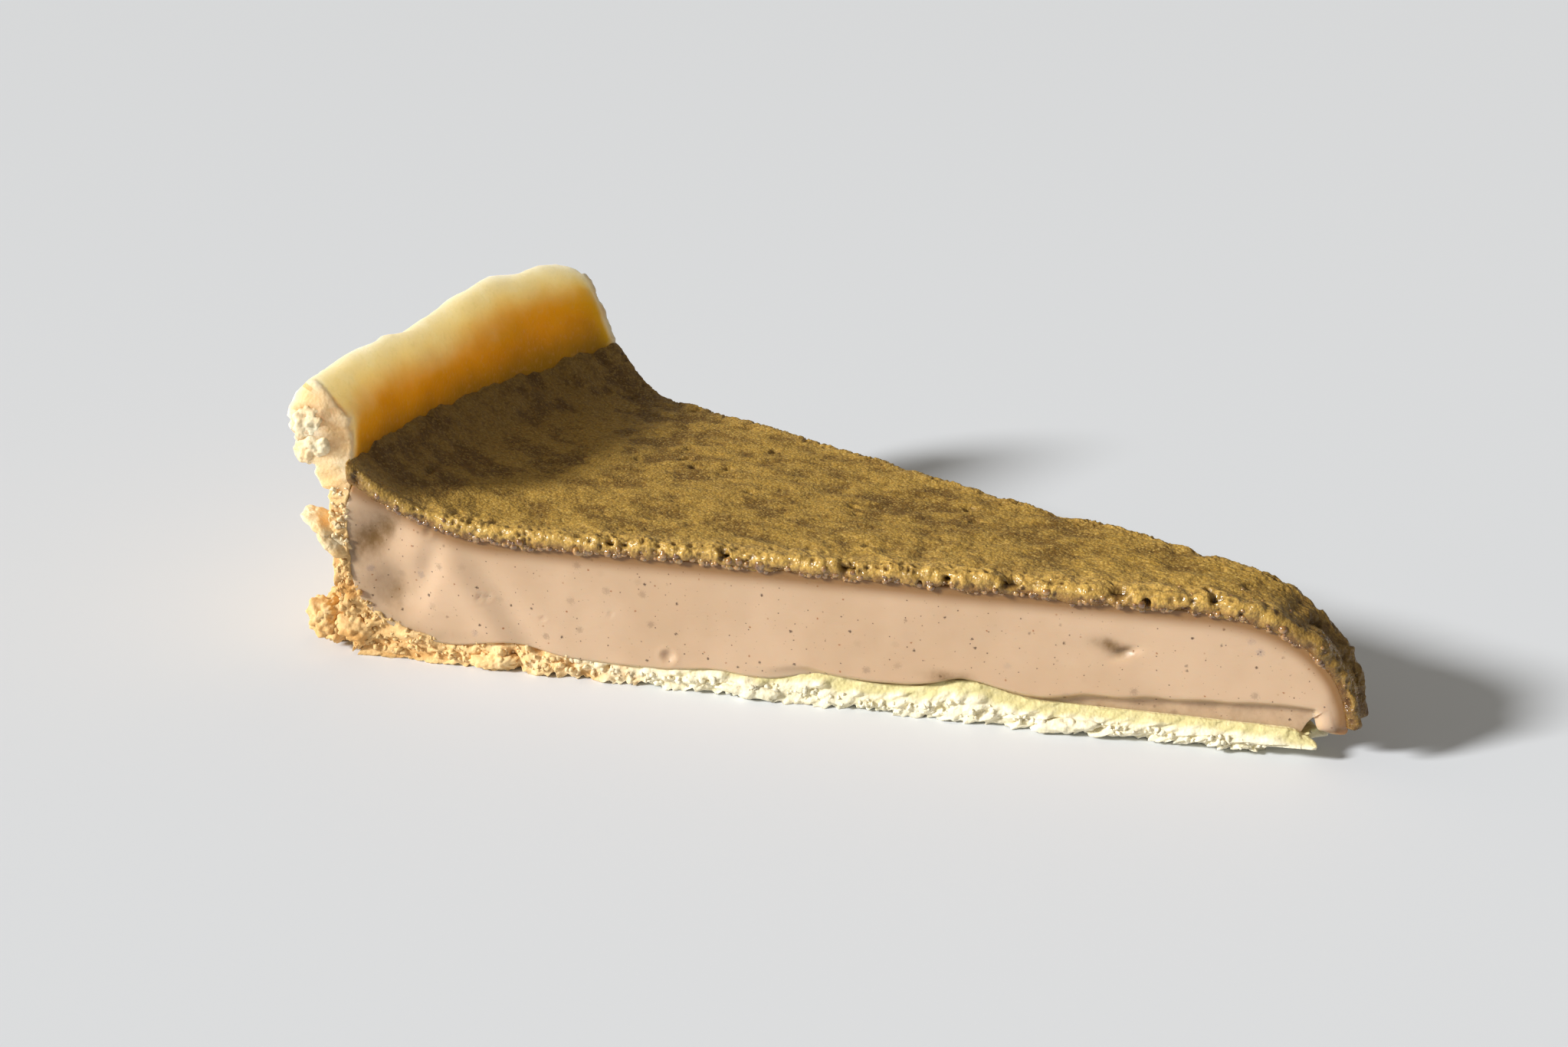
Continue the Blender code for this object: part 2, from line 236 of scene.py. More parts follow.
def block_skin(n_along, n_up, n_across):
    """The outside of a block of n_along by n_up by n_across cells: the three counts of each of
    its lattice points, and the four-sided faces of its six sides, numbered by those points."""
    outside = np.zeros((n_along + 1, n_up + 1, n_across + 1), bool)
    outside[[0, -1]] = outside[:, [0, -1]] = outside[:, :, [0, -1]] = True
    number = np.full(outside.shape, -1)
    number[outside] = np.arange(outside.sum())
    sides = []
    for axis in range(3):
        for end in (0, -1):
            turned = (end == 0) != (axis == 1)
            sides.append(grid_quads(np.take(number, end, axis=axis))[:, :: -1 if turned else 1])
    return np.argwhere(outside).T, sides


def towards_ends(count, power):
    """Places from -1 to 1, closer together towards both ends: the distance from an end is the
    even distance raised to a power."""
    even = np.linspace(-1, 1, count)
    return np.sign(even) * (1 - (1 - np.abs(even)) ** power)


def make_piece(name, points, faces, finish, numbers):
    """A mesh object from an array of points and several of faces, with one named number stored at
    each point for the finish to read."""
    mesh = bpy.data.meshes.new(name)
    mesh.from_pydata(points.tolist(), [], [face for group in faces for face in group.tolist()])
    for label, values in numbers.items():
        layer = mesh.attributes.new(label, "FLOAT", "POINT")
        layer.data.foreach_set("value", np.ascontiguousarray(values, np.float32))
    mesh.shade_smooth()
    mesh.materials.append(finish.material)
    piece = bpy.data.objects.new(name, mesh)
    bpy.context.scene.collection.objects.link(piece)
    return piece


class Value:
    """What a node gives out. A sum or a product with it is a further node of its finish."""

    def __init__(self, finish, socket):
        self.finish, self.socket = finish, socket

    def __add__(self, other):
        return self.finish.math("ADD", self, other)

    def __sub__(self, number):
        return self + -number

    def __mul__(self, other):
        return self.finish.math("MULTIPLY", self, other)

    def rise(self, start, end, low=0.0, high=1.0):
        """The value eased from low at start to high at end."""
        made = self.finish.node("MapRange", dict(enumerate((self, start, end, low, high))))
        made.interpolation_type = "SMOOTHSTEP"
        return Value(self.finish, made.outputs[0])


class Finish:
    """A material on one Principled shader, its plain numbers set on the shader's own sockets."""

    def __init__(self, name, **plain):
        self.material = bpy.data.materials.new(name)
        self.material.use_nodes = True
        self.tree = self.material.node_tree
        self.drive(**plain)

    def feed(self, socket, value):
        """Joins a socket to a node's value, or sets it to a plain number or colour."""
        if isinstance(value, Value):
            self.tree.links.new(value.socket, socket)
        elif isinstance(value, tuple) and socket.type == "RGBA":
            socket.default_value = (*value, 1.0)
        else:
            socket.default_value = value

    def drive(self, **values):
        """Feeds the shader's own sockets."""
        shader = self.tree.nodes["Principled BSDF"]
        for label, value in values.items():
            self.feed(shader.inputs[label.replace("_", " ")], value)

    def node(self, kind, values):
        """A node, with its inputs fed by their names or numbers."""
        made = self.tree.nodes.new("ShaderNode" + kind)
        for label, value in values.items():
            self.feed(made.inputs[label], value)
        return made

    def math(self, operation, first, second):
        """One Math node."""
        made = self.node("Math", {0: first, 1: second})
        made.operation = operation
        return Value(self, made.outputs[0])

    def blend(self, share, first, second):
        """One colour mixed towards another by a share."""
        made = self.node("Mix", {})
        made.data_type = "RGBA"
        for index, value in ((0, share), (6, first), (7, second)):
            self.feed(made.inputs[index], value)
        return Value(self, made.outputs[2])

    def placed(self, kind, per_metre, stretch=(1, 1, 1), shift=(0, 0, 0), tilt=0.0):
        """A texture on the piece's own coordinates, stretched, shifted and tilted about X, with
        that many features to the metre."""
        where = Value(self, self.node("TexCoord", {}).outputs["Object"])
        turned = self.node("Mapping", {
            "Vector": where, "Location": shift, "Rotation": (tilt, 0, 0), "Scale": stretch})
        return self.node(kind, {"Vector": Value(self, turned.outputs[0]), "Scale": per_metre})

    def cloud(self, per_metre, detail=2.0, roughness=0.5, stretch=(1, 1, 1)):
        """Soft noise."""
        made = self.placed("TexNoise", per_metre, stretch)
        made.inputs["Detail"].default_value = detail
        made.inputs["Roughness"].default_value = roughness
        return Value(self, made.outputs["Fac"])

    def spots(self, per_metre, stretch=(1, 1, 1), shift=(0, 0, 0), flat=False):
        """Scattered spots: the distance from the nearest one, and that one's own number. Flat
        spots lie on the plane of the cut and run straight through behind it."""
        made = self.placed("TexVoronoi", per_metre, stretch, shift, np.radians(90) if flat else 0.0)
        made.voronoi_dimensions = "2D" if flat else "3D"
        own = self.node("SeparateColor", {0: Value(self, made.outputs["Color"])})
        return Value(self, made.outputs["Distance"]), Value(self, own.outputs[0])

    def stored(self, label):
        """A number stored at the mesh's points."""
        made = self.node("Attribute", {})
        made.attribute_name = label
        return Value(self, made.outputs["Fac"])

    def emboss(self, height, distance, strength):
        """Fine relief from a height, its full range being distance metres deep."""
        made = self.node("Bump", {"Strength": strength, "Distance": distance, "Height": height})
        self.drive(Normal=Value(self, made.outputs[0]))


def case_outline(share, tip_radius, base_height, bend, wall_points):
    """A profile of the case by share: the level base, the bend, then the wall."""
    level = stacked(tip_radius + (CURVE_START - tip_radius) * share / BASE_SHARE, base_height)
    wall = through(wall_points, (share - CURVE_SHARE) / (1 - CURVE_SHARE))
    on_base, on_bend = (share < BASE_SHARE)[..., None], (share < CURVE_SHARE)[..., None]
    return np.where(on_base, level, np.where(on_bend, bend, wall))


def case_inside(share):
    """The pastry's upper and inner outline. Its bend is squarer than an ellipse: the sine and
    the cosine of a quarter turn, both raised to a power."""
    share = np.asarray(share, float)
    turn = np.radians(90) * np.clip((share - BASE_SHARE) / (CURVE_SHARE - BASE_SHARE), 0, 1)
    power = 2 / CURVE_POWER
    bend = stacked(
        CURVE_START + (WALL_INSIDE[0][0] - CURVE_START) * np.sin(turn) ** power,
        CURVE_TOP - (CURVE_TOP - BASE_THICKNESS) * np.maximum(np.cos(turn), 0) ** power,
    )
    return case_outline(share, TIP_RADIUS, BASE_THICKNESS, bend, WALL_INSIDE)


def case_outside(share):
    """The pastry's lower and outer outline. Its bend runs on flat and ends in a small round heel,
    a quarter turn whose angle eases in and out."""
    share = np.asarray(share, float)
    way = np.clip((share - BASE_SHARE) / (CURVE_SHARE - BASE_SHARE), 0, 1)
    turn = np.radians(90) * ease(way, HEEL_FLAT, 1.0)
    flat = CURVE_START + (HEEL_START - CURVE_START) * np.minimum(way / HEEL_FLAT, 1)
    flat = flat + (WALL_OUTSIDE[0][0] - HEEL_START) * np.sin(turn)
    bend = stacked(flat, HEEL_TOP * (1 - np.cos(turn)))
    return case_outline(share, LOWER_TIP_RADIUS, 0.0, bend, WALL_OUTSIDE)


def wavy_section(share, up, across, lifted):
    """Radius and height of a place between the case's two outlines. The base's tip is undercut,
    its floor has bumps, and the rim has its humps, a sway, a domed crest and a flare."""
    inner, outer = case_inside(share), case_outside(share)
    section = outer + (inner - outer) * lifted[..., None]
    tip = ease(share, 0.06, 0.0)
    section[..., 0] += tip * (TIP_RADIUS - LOWER_TIP_RADIUS) * (ease(up, 0.30, 0.52) - up)
    middle = outer[..., 0] + (inner[..., 0] - outer[..., 0]) * up
    section[..., 1] += up * floor_bump(middle, across) * (share < BASE_SHARE)
    wavy = ease(section[..., 1], WAVE_START, WALL_INSIDE[-1][1])
    section[..., 1] += wavy * humps(across, RIM_HUMPS)
    section[..., 1] -= wavy * 0.0016 * ease(across, 0.72, 1.0) ** 2
    section[..., 0] += wavy * 0.0005 * np.sin(7.0 * across + 0.8)
    section[..., 1] += ease(share, 0.985, 1.0) * CREST_DOME * np.sin(np.pi * up**1.3) ** 0.75
    flared = ease(section[..., 1], 0.0205, 0.0275) * ease(across, -0.78, -0.97) * (1 - up) ** 0.7
    section[..., 0] += 0.0012 * flared
    return section, middle


def broken_relief(along, height, side):
    """Relief of a broken face, from noise on the plane of the cut: steps between two levels of
    it, the noise itself, round clods, and flakes that each stand at a height of their own."""
    flat = stacked(along * 0.6, height, 0.0031 * side)
    broken = noise(flat, BROKEN)
    steps = ease(broken, -0.16, 0.08) + ease(broken, 0.20, 0.42) - 1.0
    near, _, own = grains(flat, CLOD_SIZE, 21)
    clod = ease(near, 0.62, 0.10) * (0.5 + 0.5 * own)
    _, _, flake = grains(flat * np.array([0.8, 1.3, 1.0]), FLAKE_SIZE, 26)
    return 0.00024 * steps + 0.00032 * broken + 0.00024 * (clod - 0.45) + 0.00034 * (flake - 0.5)


def pastry_surface(share, up, across):
    """The case as a block bent along its outline: between its outer and inner outlines by up, and
    round the tart by across. Near the cuts chips and dents bite into both edges and the broken
    face moves in and out; the wall's outside and the crest are softly uneven."""
    fine = np.linspace(0, 1, 2001)
    along = np.interp(share, fine, lengths(case_inside, fine))
    inner, outer = case_inside(share), case_outside(share)
    radius = outer[..., 0] + (inner[..., 0] - outer[..., 0]) * up
    depth = from_cut(radius, across)
    near_cut = np.exp(-((depth / CUT_REACH) ** 2))
    side = np.sign(across)
    line = stacked(along, 7.0 * side, 0.0)
    chips = near_cut * np.clip(noise(line, CHIPS) + 0.14, 0, 1)
    dents = near_cut * np.clip(noise(line, DENTS), 0, 1)
    lifted = up + chips * 0.42 * (1 - up) ** 2 - dents * 0.16 * up**3 * ease(radius, 0.075, 0.095)
    section, radius = wavy_section(share, up, across, lifted)
    points = on_arc(section[..., 0], across, section[..., 1])
    height = points[..., 2]

    on_base = ease(radius, 0.110, 0.095)
    band = ease(up + noise(line, BAND_EDGE), 0.58, 0.78)
    relief = broken_relief(along, height, side) * (1 - 0.58 * on_base * band)
    relief -= on_base * (0.0003 * band + 0.00055 * ease(up, 0.70, 1.0))
    for at, level, size in HOLES:
        away = np.hypot((radius - at) / 1.4, height - level) / size
        relief -= 0.0011 * np.exp(-(away**2)) * (across < 0)
    relief *= 1 - 0.40 * ease(height, 0.0075, 0.0105) - 0.28 * ease(height, 0.0205, 0.0245)
    rounding = np.maximum(ease(up, 0.40, 1.0) ** 2, ease(share, 0.955, 1.0) ** 2)
    rounding = rounding * ease(height, 0.0225, 0.0280) * np.exp(-((depth / 0.0022) ** 2))
    half = SLICE_ANGLE / 2
    out = stacked(np.sin(half), side * np.cos(half), 0.0)
    points += out * (near_cut * relief - 0.0013 * rounding)[..., None]

    skin = ease(radius, 0.119, 0.1205) * ease(up, 0.25, 0.0)
    crest = ease(points[..., 2], 0.0245, 0.0310)
    points[..., 0] -= skin * noise(points, WALL_SKIN) + crest * noise(points, CREST_PILLOWS)
    points[..., 2] += crest * noise(points, CREST_RISES)
    torn = ease(share, 0.02, 0.0)
    points[..., 0] += torn * noise(points, TORN_TIP)
    points[..., 2] -= torn**2 * up * (0.0006 + 0.0004 * ripples(points, 0.0012, 40))
    lift = near_cut * (1 - up) * 0.0005 * ease(share, 0.25, 0.0)
    points[..., 2] = np.maximum(points[..., 2] + lift, 0.0)
    return points, np.clip(0.5 + relief / 0.0014, 0, 1), near_cut, band


(i, j, k), case_faces = block_skin(*CASE_CELLS)
share, up = evenly(case_inside, CASE_CELLS[0])[i], j / CASE_CELLS[1]
across = towards_ends(CASE_CELLS[2] + 1, 1.35)[k]
case_up, case_across = up, across
case_points, case_relief, case_cut, case_band = pastry_surface(share, up, across)
case_radius = np.hypot(case_points[:, 0] - CENTRE_X, case_points[:, 1])
case_height = case_points[:, 2]

pastry = Finish(
    "Pastry", Roughness=0.68, Specular_IOR_Level=0.20, Subsurface_Radius=(1.0, 0.96, 0.84))
thin, cut = pastry.stored("thin"), pastry.stored("cut")
pastry.drive(
    Subsurface_Weight=thin.rise(0.0, 0.8, 0.30, 1.0),
    Subsurface_Scale=thin.rise(0.0, 1.0, 0.0007, 0.0165),
)
warm = pastry.cloud(300, 3, 0.6) * 1.1 - 0.55
golden = (pastry.stored("golden") + warm).rise(0.15, 0.90)
heel = pastry.stored("heel") * pastry.cloud(420, 3).rise(0.30, 0.62, 0.30, 0.78)
colour = pastry.blend(heel, pastry.blend(golden, CREAM, GOLDEN), HEEL_BROWN)
colour = pastry.blend(thin * 0.65, colour, CREST_GLOW)
uneven = pastry.cloud(190, 3) * 0.5 - 0.25
# The inner wall's amber: partly its baked colour, partly a painted glow of light through the thin wall.
colour = pastry.blend((pastry.stored("amber_and_glow") + uneven).rise(0.10, 0.90), colour, AMBER_AND_GLOW)
# Darker brown low on the inner wall, below the amber.
colour = pastry.blend((pastry.stored("low_wall_dark") + uneven).rise(0.05, 1.0), colour, LOW_WALL_DARK)
patch, patch_own = pastry.spots(420, stretch=(0.5, 1, 1))
toasted = patch_own.rise(0.66, 0.90) * patch.rise(0.80, 0.20) * cut
toasted = toasted * golden.rise(0.0, 1.0, 0.18, 1.0) * 0.80
colour = pastry.blend(toasted, colour, TOASTED_AND_SHADE)
# Painted shade: the broken cut face darkened where its relief is low, in its crevices.
crevice_shade = pastry.stored("relief").rise(0.34, 0.04) * cut
crevice_shade = crevice_shade * golden.rise(0.0, 1.0, 0.35, 0.58) * thin.rise(0.0, 0.35, 1.0, 0.25)
colour = pastry.blend(crevice_shade, colour, pastry.blend(golden, SOAKED_AND_SHADE, TOASTED_AND_SHADE))
soaked = pastry.stored("soaked") * pastry.cloud(500, 3).rise(0.25, 0.55, 0.6, 1.0)
colour = pastry.blend(soaked, colour, SOAKED_AND_SHADE)
flecks = pastry.cloud(1500, 3, 0.6)
pastry.drive(Base_Color=pastry.blend(flecks.rise(0.50, 0.28, 0.0, 0.16), colour, FLECK))
granule, _ = pastry.spots(2300)
pastry.emboss(granule * -0.4 + flecks * 0.9, 0.00022, 0.7)

inside = ease(up, 0.55, 0.95)
below_crest = case_height - humps(across, RIM_HUMPS) * ease(case_height, WAVE_START, 0.0320)
from_end = from_cut(case_radius, across)
faded = 1 - 0.92 * np.exp(-((from_end / 0.0024) ** 2)) * ease(below_crest, 0.0215, 0.0290)
faded = inside * faded * (1 - 0.9 * case_cut) * ease(case_radius, 0.112, 0.116)
wander = ease(case_radius, 0.1190, 0.1205) * noise(case_points, CRUST_WANDER)
low_place = case_height + (1 - case_cut) * wander
paler = 0.20 * ease(low_place, 0.019, 0.028) + 0.20 * case_cut * ease(case_height, 0.019, 0.024)
wet = np.maximum(inside * (1 - case_cut), 0.85 * case_cut * case_band)
case_numbers = {
    "relief": case_relief,
    "cut": case_cut,
    "heel": ease(case_radius, 0.100, 0.119) * ease(low_place, 0.0255, 0.0130),
    "thin": ease(low_place, 0.0150, 0.0260) * (1 - 0.65 * case_cut),
    "golden": ease(case_radius, 0.062, 0.112) * (1 - paler),
    # amber: baked colour and painted glow on the inner wall
    "amber_and_glow": faded * (ease(below_crest, 0.0338, 0.0262) + 0.25 * ease(across, 0.0, 0.8)),
    # darker brown low on the inner wall
    "low_wall_dark": faded * ease(below_crest, 0.0312, 0.0212),
    "soaked": wet * ease(case_radius, 0.086, 0.066),
}
case = make_piece("pastry_case_baked", case_points, case_faces, pastry, case_numbers)
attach(case, "root")
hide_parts("pastry_case")

# The custard filling. Egg custard with ground spice, set in the case and cut with a clean knife:
# smooth and moist, with dark specks, a few burst bubbles, and a slumped tongue that hangs over
# the tip of the pastry. It rests on the base and against the wall.

CUSTARD_HEIGHT = 0.0167
SLUMP_START, SLUMP_REACH, SLUMP_POWER = 0.0200, 0.0172, 2.5
SLUMP_TURN = np.radians(79.3)
CLIMB_START, CLIMB_END, CLIMB_HEIGHT = (0.0980, 0.1055), 0.1171, (0.0059, 0.0052)
FAR_SAG = 0.0008
TONGUE_RADIUS, TONGUE_DROP, TONGUE_ROUNDING = 0.0046, 0.0002, 0.0006
NOTCH = (0.0066, 0.0017, 0.0008)  # its radius, height and width
TIP_SHARE, WALL_FOOT_SHARE = 0.26, 0.72
SIDE_SHARES = np.array([WALL_FOOT_SHARE, 0.745, 0.775, 0.815])
CUSTARD_CELLS = (400, 44, 24)   # along the top, upwards and across
SUNK_IN_BASE, SUNK_IN_WALL = 0.0003, 0.0004
# Patches: each is an amount, a lean, a radius and a width, and a height and a width upwards.
FACE_HOLLOWS = [
    (0.0013, 0.35, 0.1138, 0.0038, 0.0168, 0.0034), (0.0013, 0.0, 0.1128, 0.0030, 0.0095, 0.0034),
    (0.0005, 0.35, 0.1070, 0.0016, 0.0125, 0.0042), (0.00022, 0.0, 0.0290, 0.0026, 0.0114, 0.0012),
]
# Darker patches on the cut face, partly painted shade in its hollows and partly brown stain.
FACE_SHADE_AND_STAINS = [
    (0.62, 0.9, 0.1142, 0.0028, 0.0160, 0.0032), (0.60, 0.0, 0.0465, 0.0034, 0.0056, 0.0010),
    (0.30, 0.0, 0.1130, 0.0028, 0.0088, 0.0030),
]
LEAN_LEVEL = 0.0168
PIT_RADIUS, PIT_HEIGHT, PIT_DEPTH = 0.0272, 0.0108, 0.00060
SMEAR_RADIUS, SMEAR_HEIGHT = 0.0286, 0.0113
LEDGE_DEPTH, LEDGE_START, LEDGE_END = 0.0019, 0.0720, 0.0500
BURST_BUBBLES = [
    (0.1175, 0.0220, 0.0004), (0.1169, 0.0216, 0.0003), (0.1083, 0.0169, 0.0005),
    (0.1021, 0.0095, 0.0004), (0.1013, 0.0095, 0.0004), (0.0793, 0.0044, 0.0007),
    (0.0861, 0.0090, 0.0003), (0.0945, 0.0075, 0.0003),
]
CUSTARD, CUSTARD_DEEP = (0.61, 0.43, 0.28), (0.56, 0.385, 0.24)
# The darkest custard colour is both a brown stain and painted shade.
CUSTARD_EDGE, CUSTARD_STAIN_AND_SHADE = (0.27, 0.135, 0.042), (0.175, 0.088, 0.018)
SPICE, RED_SPICE, BLUE_SPICE = (0.070, 0.030, 0.016), (0.30, 0.09, 0.012), (0.22, 0.17, 0.18)
# Specks: spots to the metre, the least own number of one that shows, size, depth, shift, colour.
SPECKS = [
    (560, 0.48, 0.066, 0.85, (0, 0, 0), SPICE),
    (300, 0.52, 0.072, 0.88, (3.1, 1.7, 0.4), SPICE),
    (240, 0.55, 0.15, 0.30, (1.3, 5.2, 2.2), SPICE),
    (380, 0.60, 0.062, 0.85, (7.3, 0.9, 4.0), RED_SPICE),
    (900, 0.50, 0.075, 0.40, (2.3, 6.1, 1.0), SPICE),
    (160, 0.60, 0.10, 0.35, (4.4, 2.9, 6.0), BLUE_SPICE),
]


def custard_top(share, across=-1.0):
    """The custard's upper outline: a quarter of a squared-off ellipse over the slumped tip, a
    level run, and a climb up the wall that grows with the square of the distance."""
    share = np.asarray(share, float)
    turn = SLUMP_TURN * (1 - np.minimum(share / TIP_SHARE, 1))
    slump = stacked(
        SLUMP_START - SLUMP_REACH * np.maximum(np.sin(turn), 0) ** (2 / SLUMP_POWER),
        CUSTARD_HEIGHT * np.cos(turn) ** (2 / SLUMP_POWER),
    )
    way = np.maximum(share - TIP_SHARE, 0) / (1 - TIP_SHARE)
    radius = SLUMP_START + (CLIMB_END - SLUMP_START) * way
    far = ease(across, -0.7, 1.0)
    start = CLIMB_START[0] + (CLIMB_START[1] - CLIMB_START[0]) * far
    climb = np.maximum(radius - start, 0) / (CLIMB_END - start)
    rise_by = CLIMB_HEIGHT[0] + (CLIMB_HEIGHT[1] - CLIMB_HEIGHT[0]) * far
    height = CUSTARD_HEIGHT - FAR_SAG * far * ease(radius, 0.030, 0.050) + rise_by * climb**2
    return np.where((share < TIP_SHARE)[..., None], slump, stacked(radius, height))


def custard_floor(share):
    """The custard's lower outline: the tongue and the notch behind it, then along the pastry's
    inner outline as far as the foot of the wall, sunk a little into the pastry."""
    share = np.asarray(share, float)
    radius = TONGUE_RADIUS + (SLUMP_START - TONGUE_RADIUS) * np.minimum(share / TIP_SHARE, 1) ** 1.4
    at, height, width = NOTCH
    lift = height * hump(radius, at, width) - TONGUE_DROP * ease(radius, at, TONGUE_RADIUS)
    sunk = SUNK_IN_BASE * ease(radius, at, 0.0076)
    tongue = stacked(radius, BASE_THICKNESS - sunk + lift)
    start = (SLUMP_START - TIP_RADIUS) / (CURVE_START - TIP_RADIUS) * BASE_SHARE
    way = np.maximum(share - TIP_SHARE, 0) / (1 - TIP_SHARE)
    rest = beside(case_inside, start + (WALL_FOOT_SHARE - start) * way, -SUNK_IN_BASE)
    return np.where((share < TIP_SHARE)[..., None], tongue, rest)


def custard_section(share, up, across):
    """A point of the custard's section: its four outlines blended, each two opposite ones by the
    share between them, less the blend of the four corners that both pairs count."""
    floor, top = custard_floor(share), custard_top(share, across)
    tongue, brow = custard_floor(np.zeros_like(share)), custard_top(np.zeros_like(share), across)
    foot, head = custard_floor(np.ones_like(share)), custard_top(np.ones_like(share), across)
    u, s = up[..., None], share[..., None]
    tip = tongue + (brow - tongue) * u - TONGUE_ROUNDING * np.sin(np.pi * u)
    wall = np.broadcast_to(beside(case_inside, SIDE_SHARES, -SUNK_IN_WALL), (len(share), 4, 2))
    line = np.concatenate([wall, head[:, None]], 1)
    row, i = np.arange(len(share)), np.minimum((up * 4).astype(int), 3)
    side = line[row, i] + (line[row, i + 1] - line[row, i]) * (up * 4 - i)[..., None]
    corners = (tongue + (foot - tongue) * s) * (1 - u) + (brow + (head - brow) * s) * u
    return floor * (1 - u) + top * u + tip * (1 - s) + side * s - corners


def patches(radius, height, rows):
    """The sum of soft patches on the cut face, each an amount times a bell along the radius, whose
    middle leans with the height, and a bell up the height."""
    return sum(
        amount * hump(radius + lean * (height - LEAN_LEVEL), at, wide) * hump(height, level, tall)
        for amount, lean, at, wide, level, tall in rows)


def rounded(share):
    """0 to 1 as a quarter of a circle: one less the root of one less the share squared."""
    return 1 - np.sqrt(np.clip(1 - share**2, 0, 1))


def face_depth(radius, height, across):
    """How far the cut that shows stands back: its hollows, the knife's soft ridge, the ledge over
    the pastry, a pit and burst bubbles with low rims. Also the ledge's own share."""
    ridge = radius - (0.0985 + (height - 0.003) * 0.62)
    ridge = 0.00030 * hump(ridge, -0.0028, 0.0022) - 0.00036 * hump(ridge, 0.0010, 0.0026)
    back = patches(radius, height, FACE_HOLLOWS) + ease(height, 0.0165, 0.0125) * ridge
    ledge_top = 0.0043 + 0.0017 * ease(radius, 0.042, 0.024) + 0.0008 * ease(radius, 0.024, 0.010)
    ledge_top = ledge_top + floor_bump(radius, across)
    ledge_top = ledge_top + 0.0003 * ripples(stacked(radius, 0.0, 0.0), 0.0042, 43)
    ledge = ease(height, ledge_top, ledge_top - 0.0012) * ease(radius, LEDGE_START, LEDGE_END)
    ledge *= rounded(np.clip((radius - 0.0051) / 0.0015, 0, 1))
    ledge *= 0.70 + 0.30 * ease(radius, 0.050, 0.062)
    back = back + LEDGE_DEPTH * ledge
    pit = (radius - PIT_RADIUS) * 0.96 + (height - PIT_HEIGHT) * 0.28
    pit_height = height + 0.3 * (radius - PIT_RADIUS)
    back += PIT_DEPTH * hump(pit, 0, 0.0011) * hump(pit_height, PIT_HEIGHT, 0.0005)
    for at, level, size in BURST_BUBBLES:
        away = np.hypot(radius - at, height - level) / size
        back += size * (0.55 * np.exp(-(away**2)) - 0.16 * hump(away, 1.5, 0.5))
    return back * (across < 0), ledge


def custard_surface(share, up, across):
    """The custard as a block between its outlines, the cut that shows set back by its relief,
    both cuts softly uneven, and the tongue rounded towards the tip and the notch."""
    section = custard_section(share, up, across)
    radius, height = section[..., 0], section[..., 1]
    height = height + (1 - up) * floor_bump(radius, across)
    height = height - 0.0004 * ease(up, 0.10, 0.0) * ease(radius, 0.0070, 0.0080)
    back, ledge = face_depth(radius, height, across)
    back += 0.00012 * ripples(stacked(radius, height * 1.6, across), 0.011, 41)
    back += 0.00004 * ripples(stacked(radius, height, across * 9), 0.0031, 42)
    back += 0.0010 * rounded(1 - np.minimum(share / 0.07, 1))
    drop_edge = np.clip((height - custard_floor(share)[..., 1]) / 0.0014, 0, 1)
    back += 0.0012 * ease(radius, 0.0076, 0.0060) * rounded(1 - drop_edge)
    by_tip = ease(radius, 0.0160, 0.0090)
    spread = by_tip + (1 - by_tip) * ease(np.abs(across), 0.80, 1.0)
    points = on_arc(radius, across, height, -np.minimum(back, 0.75 * half_width(radius)) * spread)
    points[..., 0] -= 0.0010 * across**2 * ease(share, 0.10, 0.0) * (1 - ease(up, 0.6, 1.0))
    return points, ledge, radius


(i, j, k), custard_faces = block_skin(*CUSTARD_CELLS)
share, up = evenly(custard_top, CUSTARD_CELLS[0])[i], j / CUSTARD_CELLS[1]
across = towards_ends(CUSTARD_CELLS[2] + 1, 1.5)[k]
custard_points, custard_ledge, custard_radius = custard_surface(share, up, across)
custard_height = custard_points[:, 2]
below_top = custard_top(share, across)[:, 1] - custard_height

custard = Finish(
    "Custard", Subsurface_Weight=0.45, Subsurface_Scale=0.0022,
    Subsurface_Radius=(1.0, 0.55, 0.32), Specular_IOR_Level=0.5, Coat_Weight=0.12, Coat_Roughness=0.25,
)
colour = custard.blend(custard.cloud(90, 3).rise(0.35, 0.65), CUSTARD, CUSTARD_DEEP)
for per_metre, least, size, depth, shift, tint in SPECKS:
    away, own = custard.spots(per_metre, shift=shift, flat=True)
    away = away + (custard.cloud(5200) - 0.5) * (size * 1.6)
    speck = away.rise(size, size * 0.2) * own.rise(least, least + 0.3)
    colour = custard.blend(speck * depth, colour, tint)
colour = custard.blend(custard.stored("browning"), colour, CUSTARD_EDGE)
# Painted shade and stains on the cut face: darker in the hollows by the wall and on the ledge's recessed
# strip, and a brown smear by the pit.
stain_and_shade_share = custard.cloud(620, 4, 0.65, (1, 1, 0.7)) * 1.6 + 0.2
stain_and_shade_share = (custard.stored("stain_and_shade") * stain_and_shade_share).rise(0.05, 1.0)
custard.drive(
    Base_Color=custard.blend(stain_and_shade_share, colour, CUSTARD_STAIN_AND_SHADE),
    Roughness=custard.cloud(700).rise(0.3, 0.7, 0.30, 0.44),
)
silk = custard.cloud(520, 3, 0.55, (0.4, 1, 1.6)) * 0.7
custard.emboss(silk + custard.cloud(2600) * 0.12, 0.00016, 0.5)

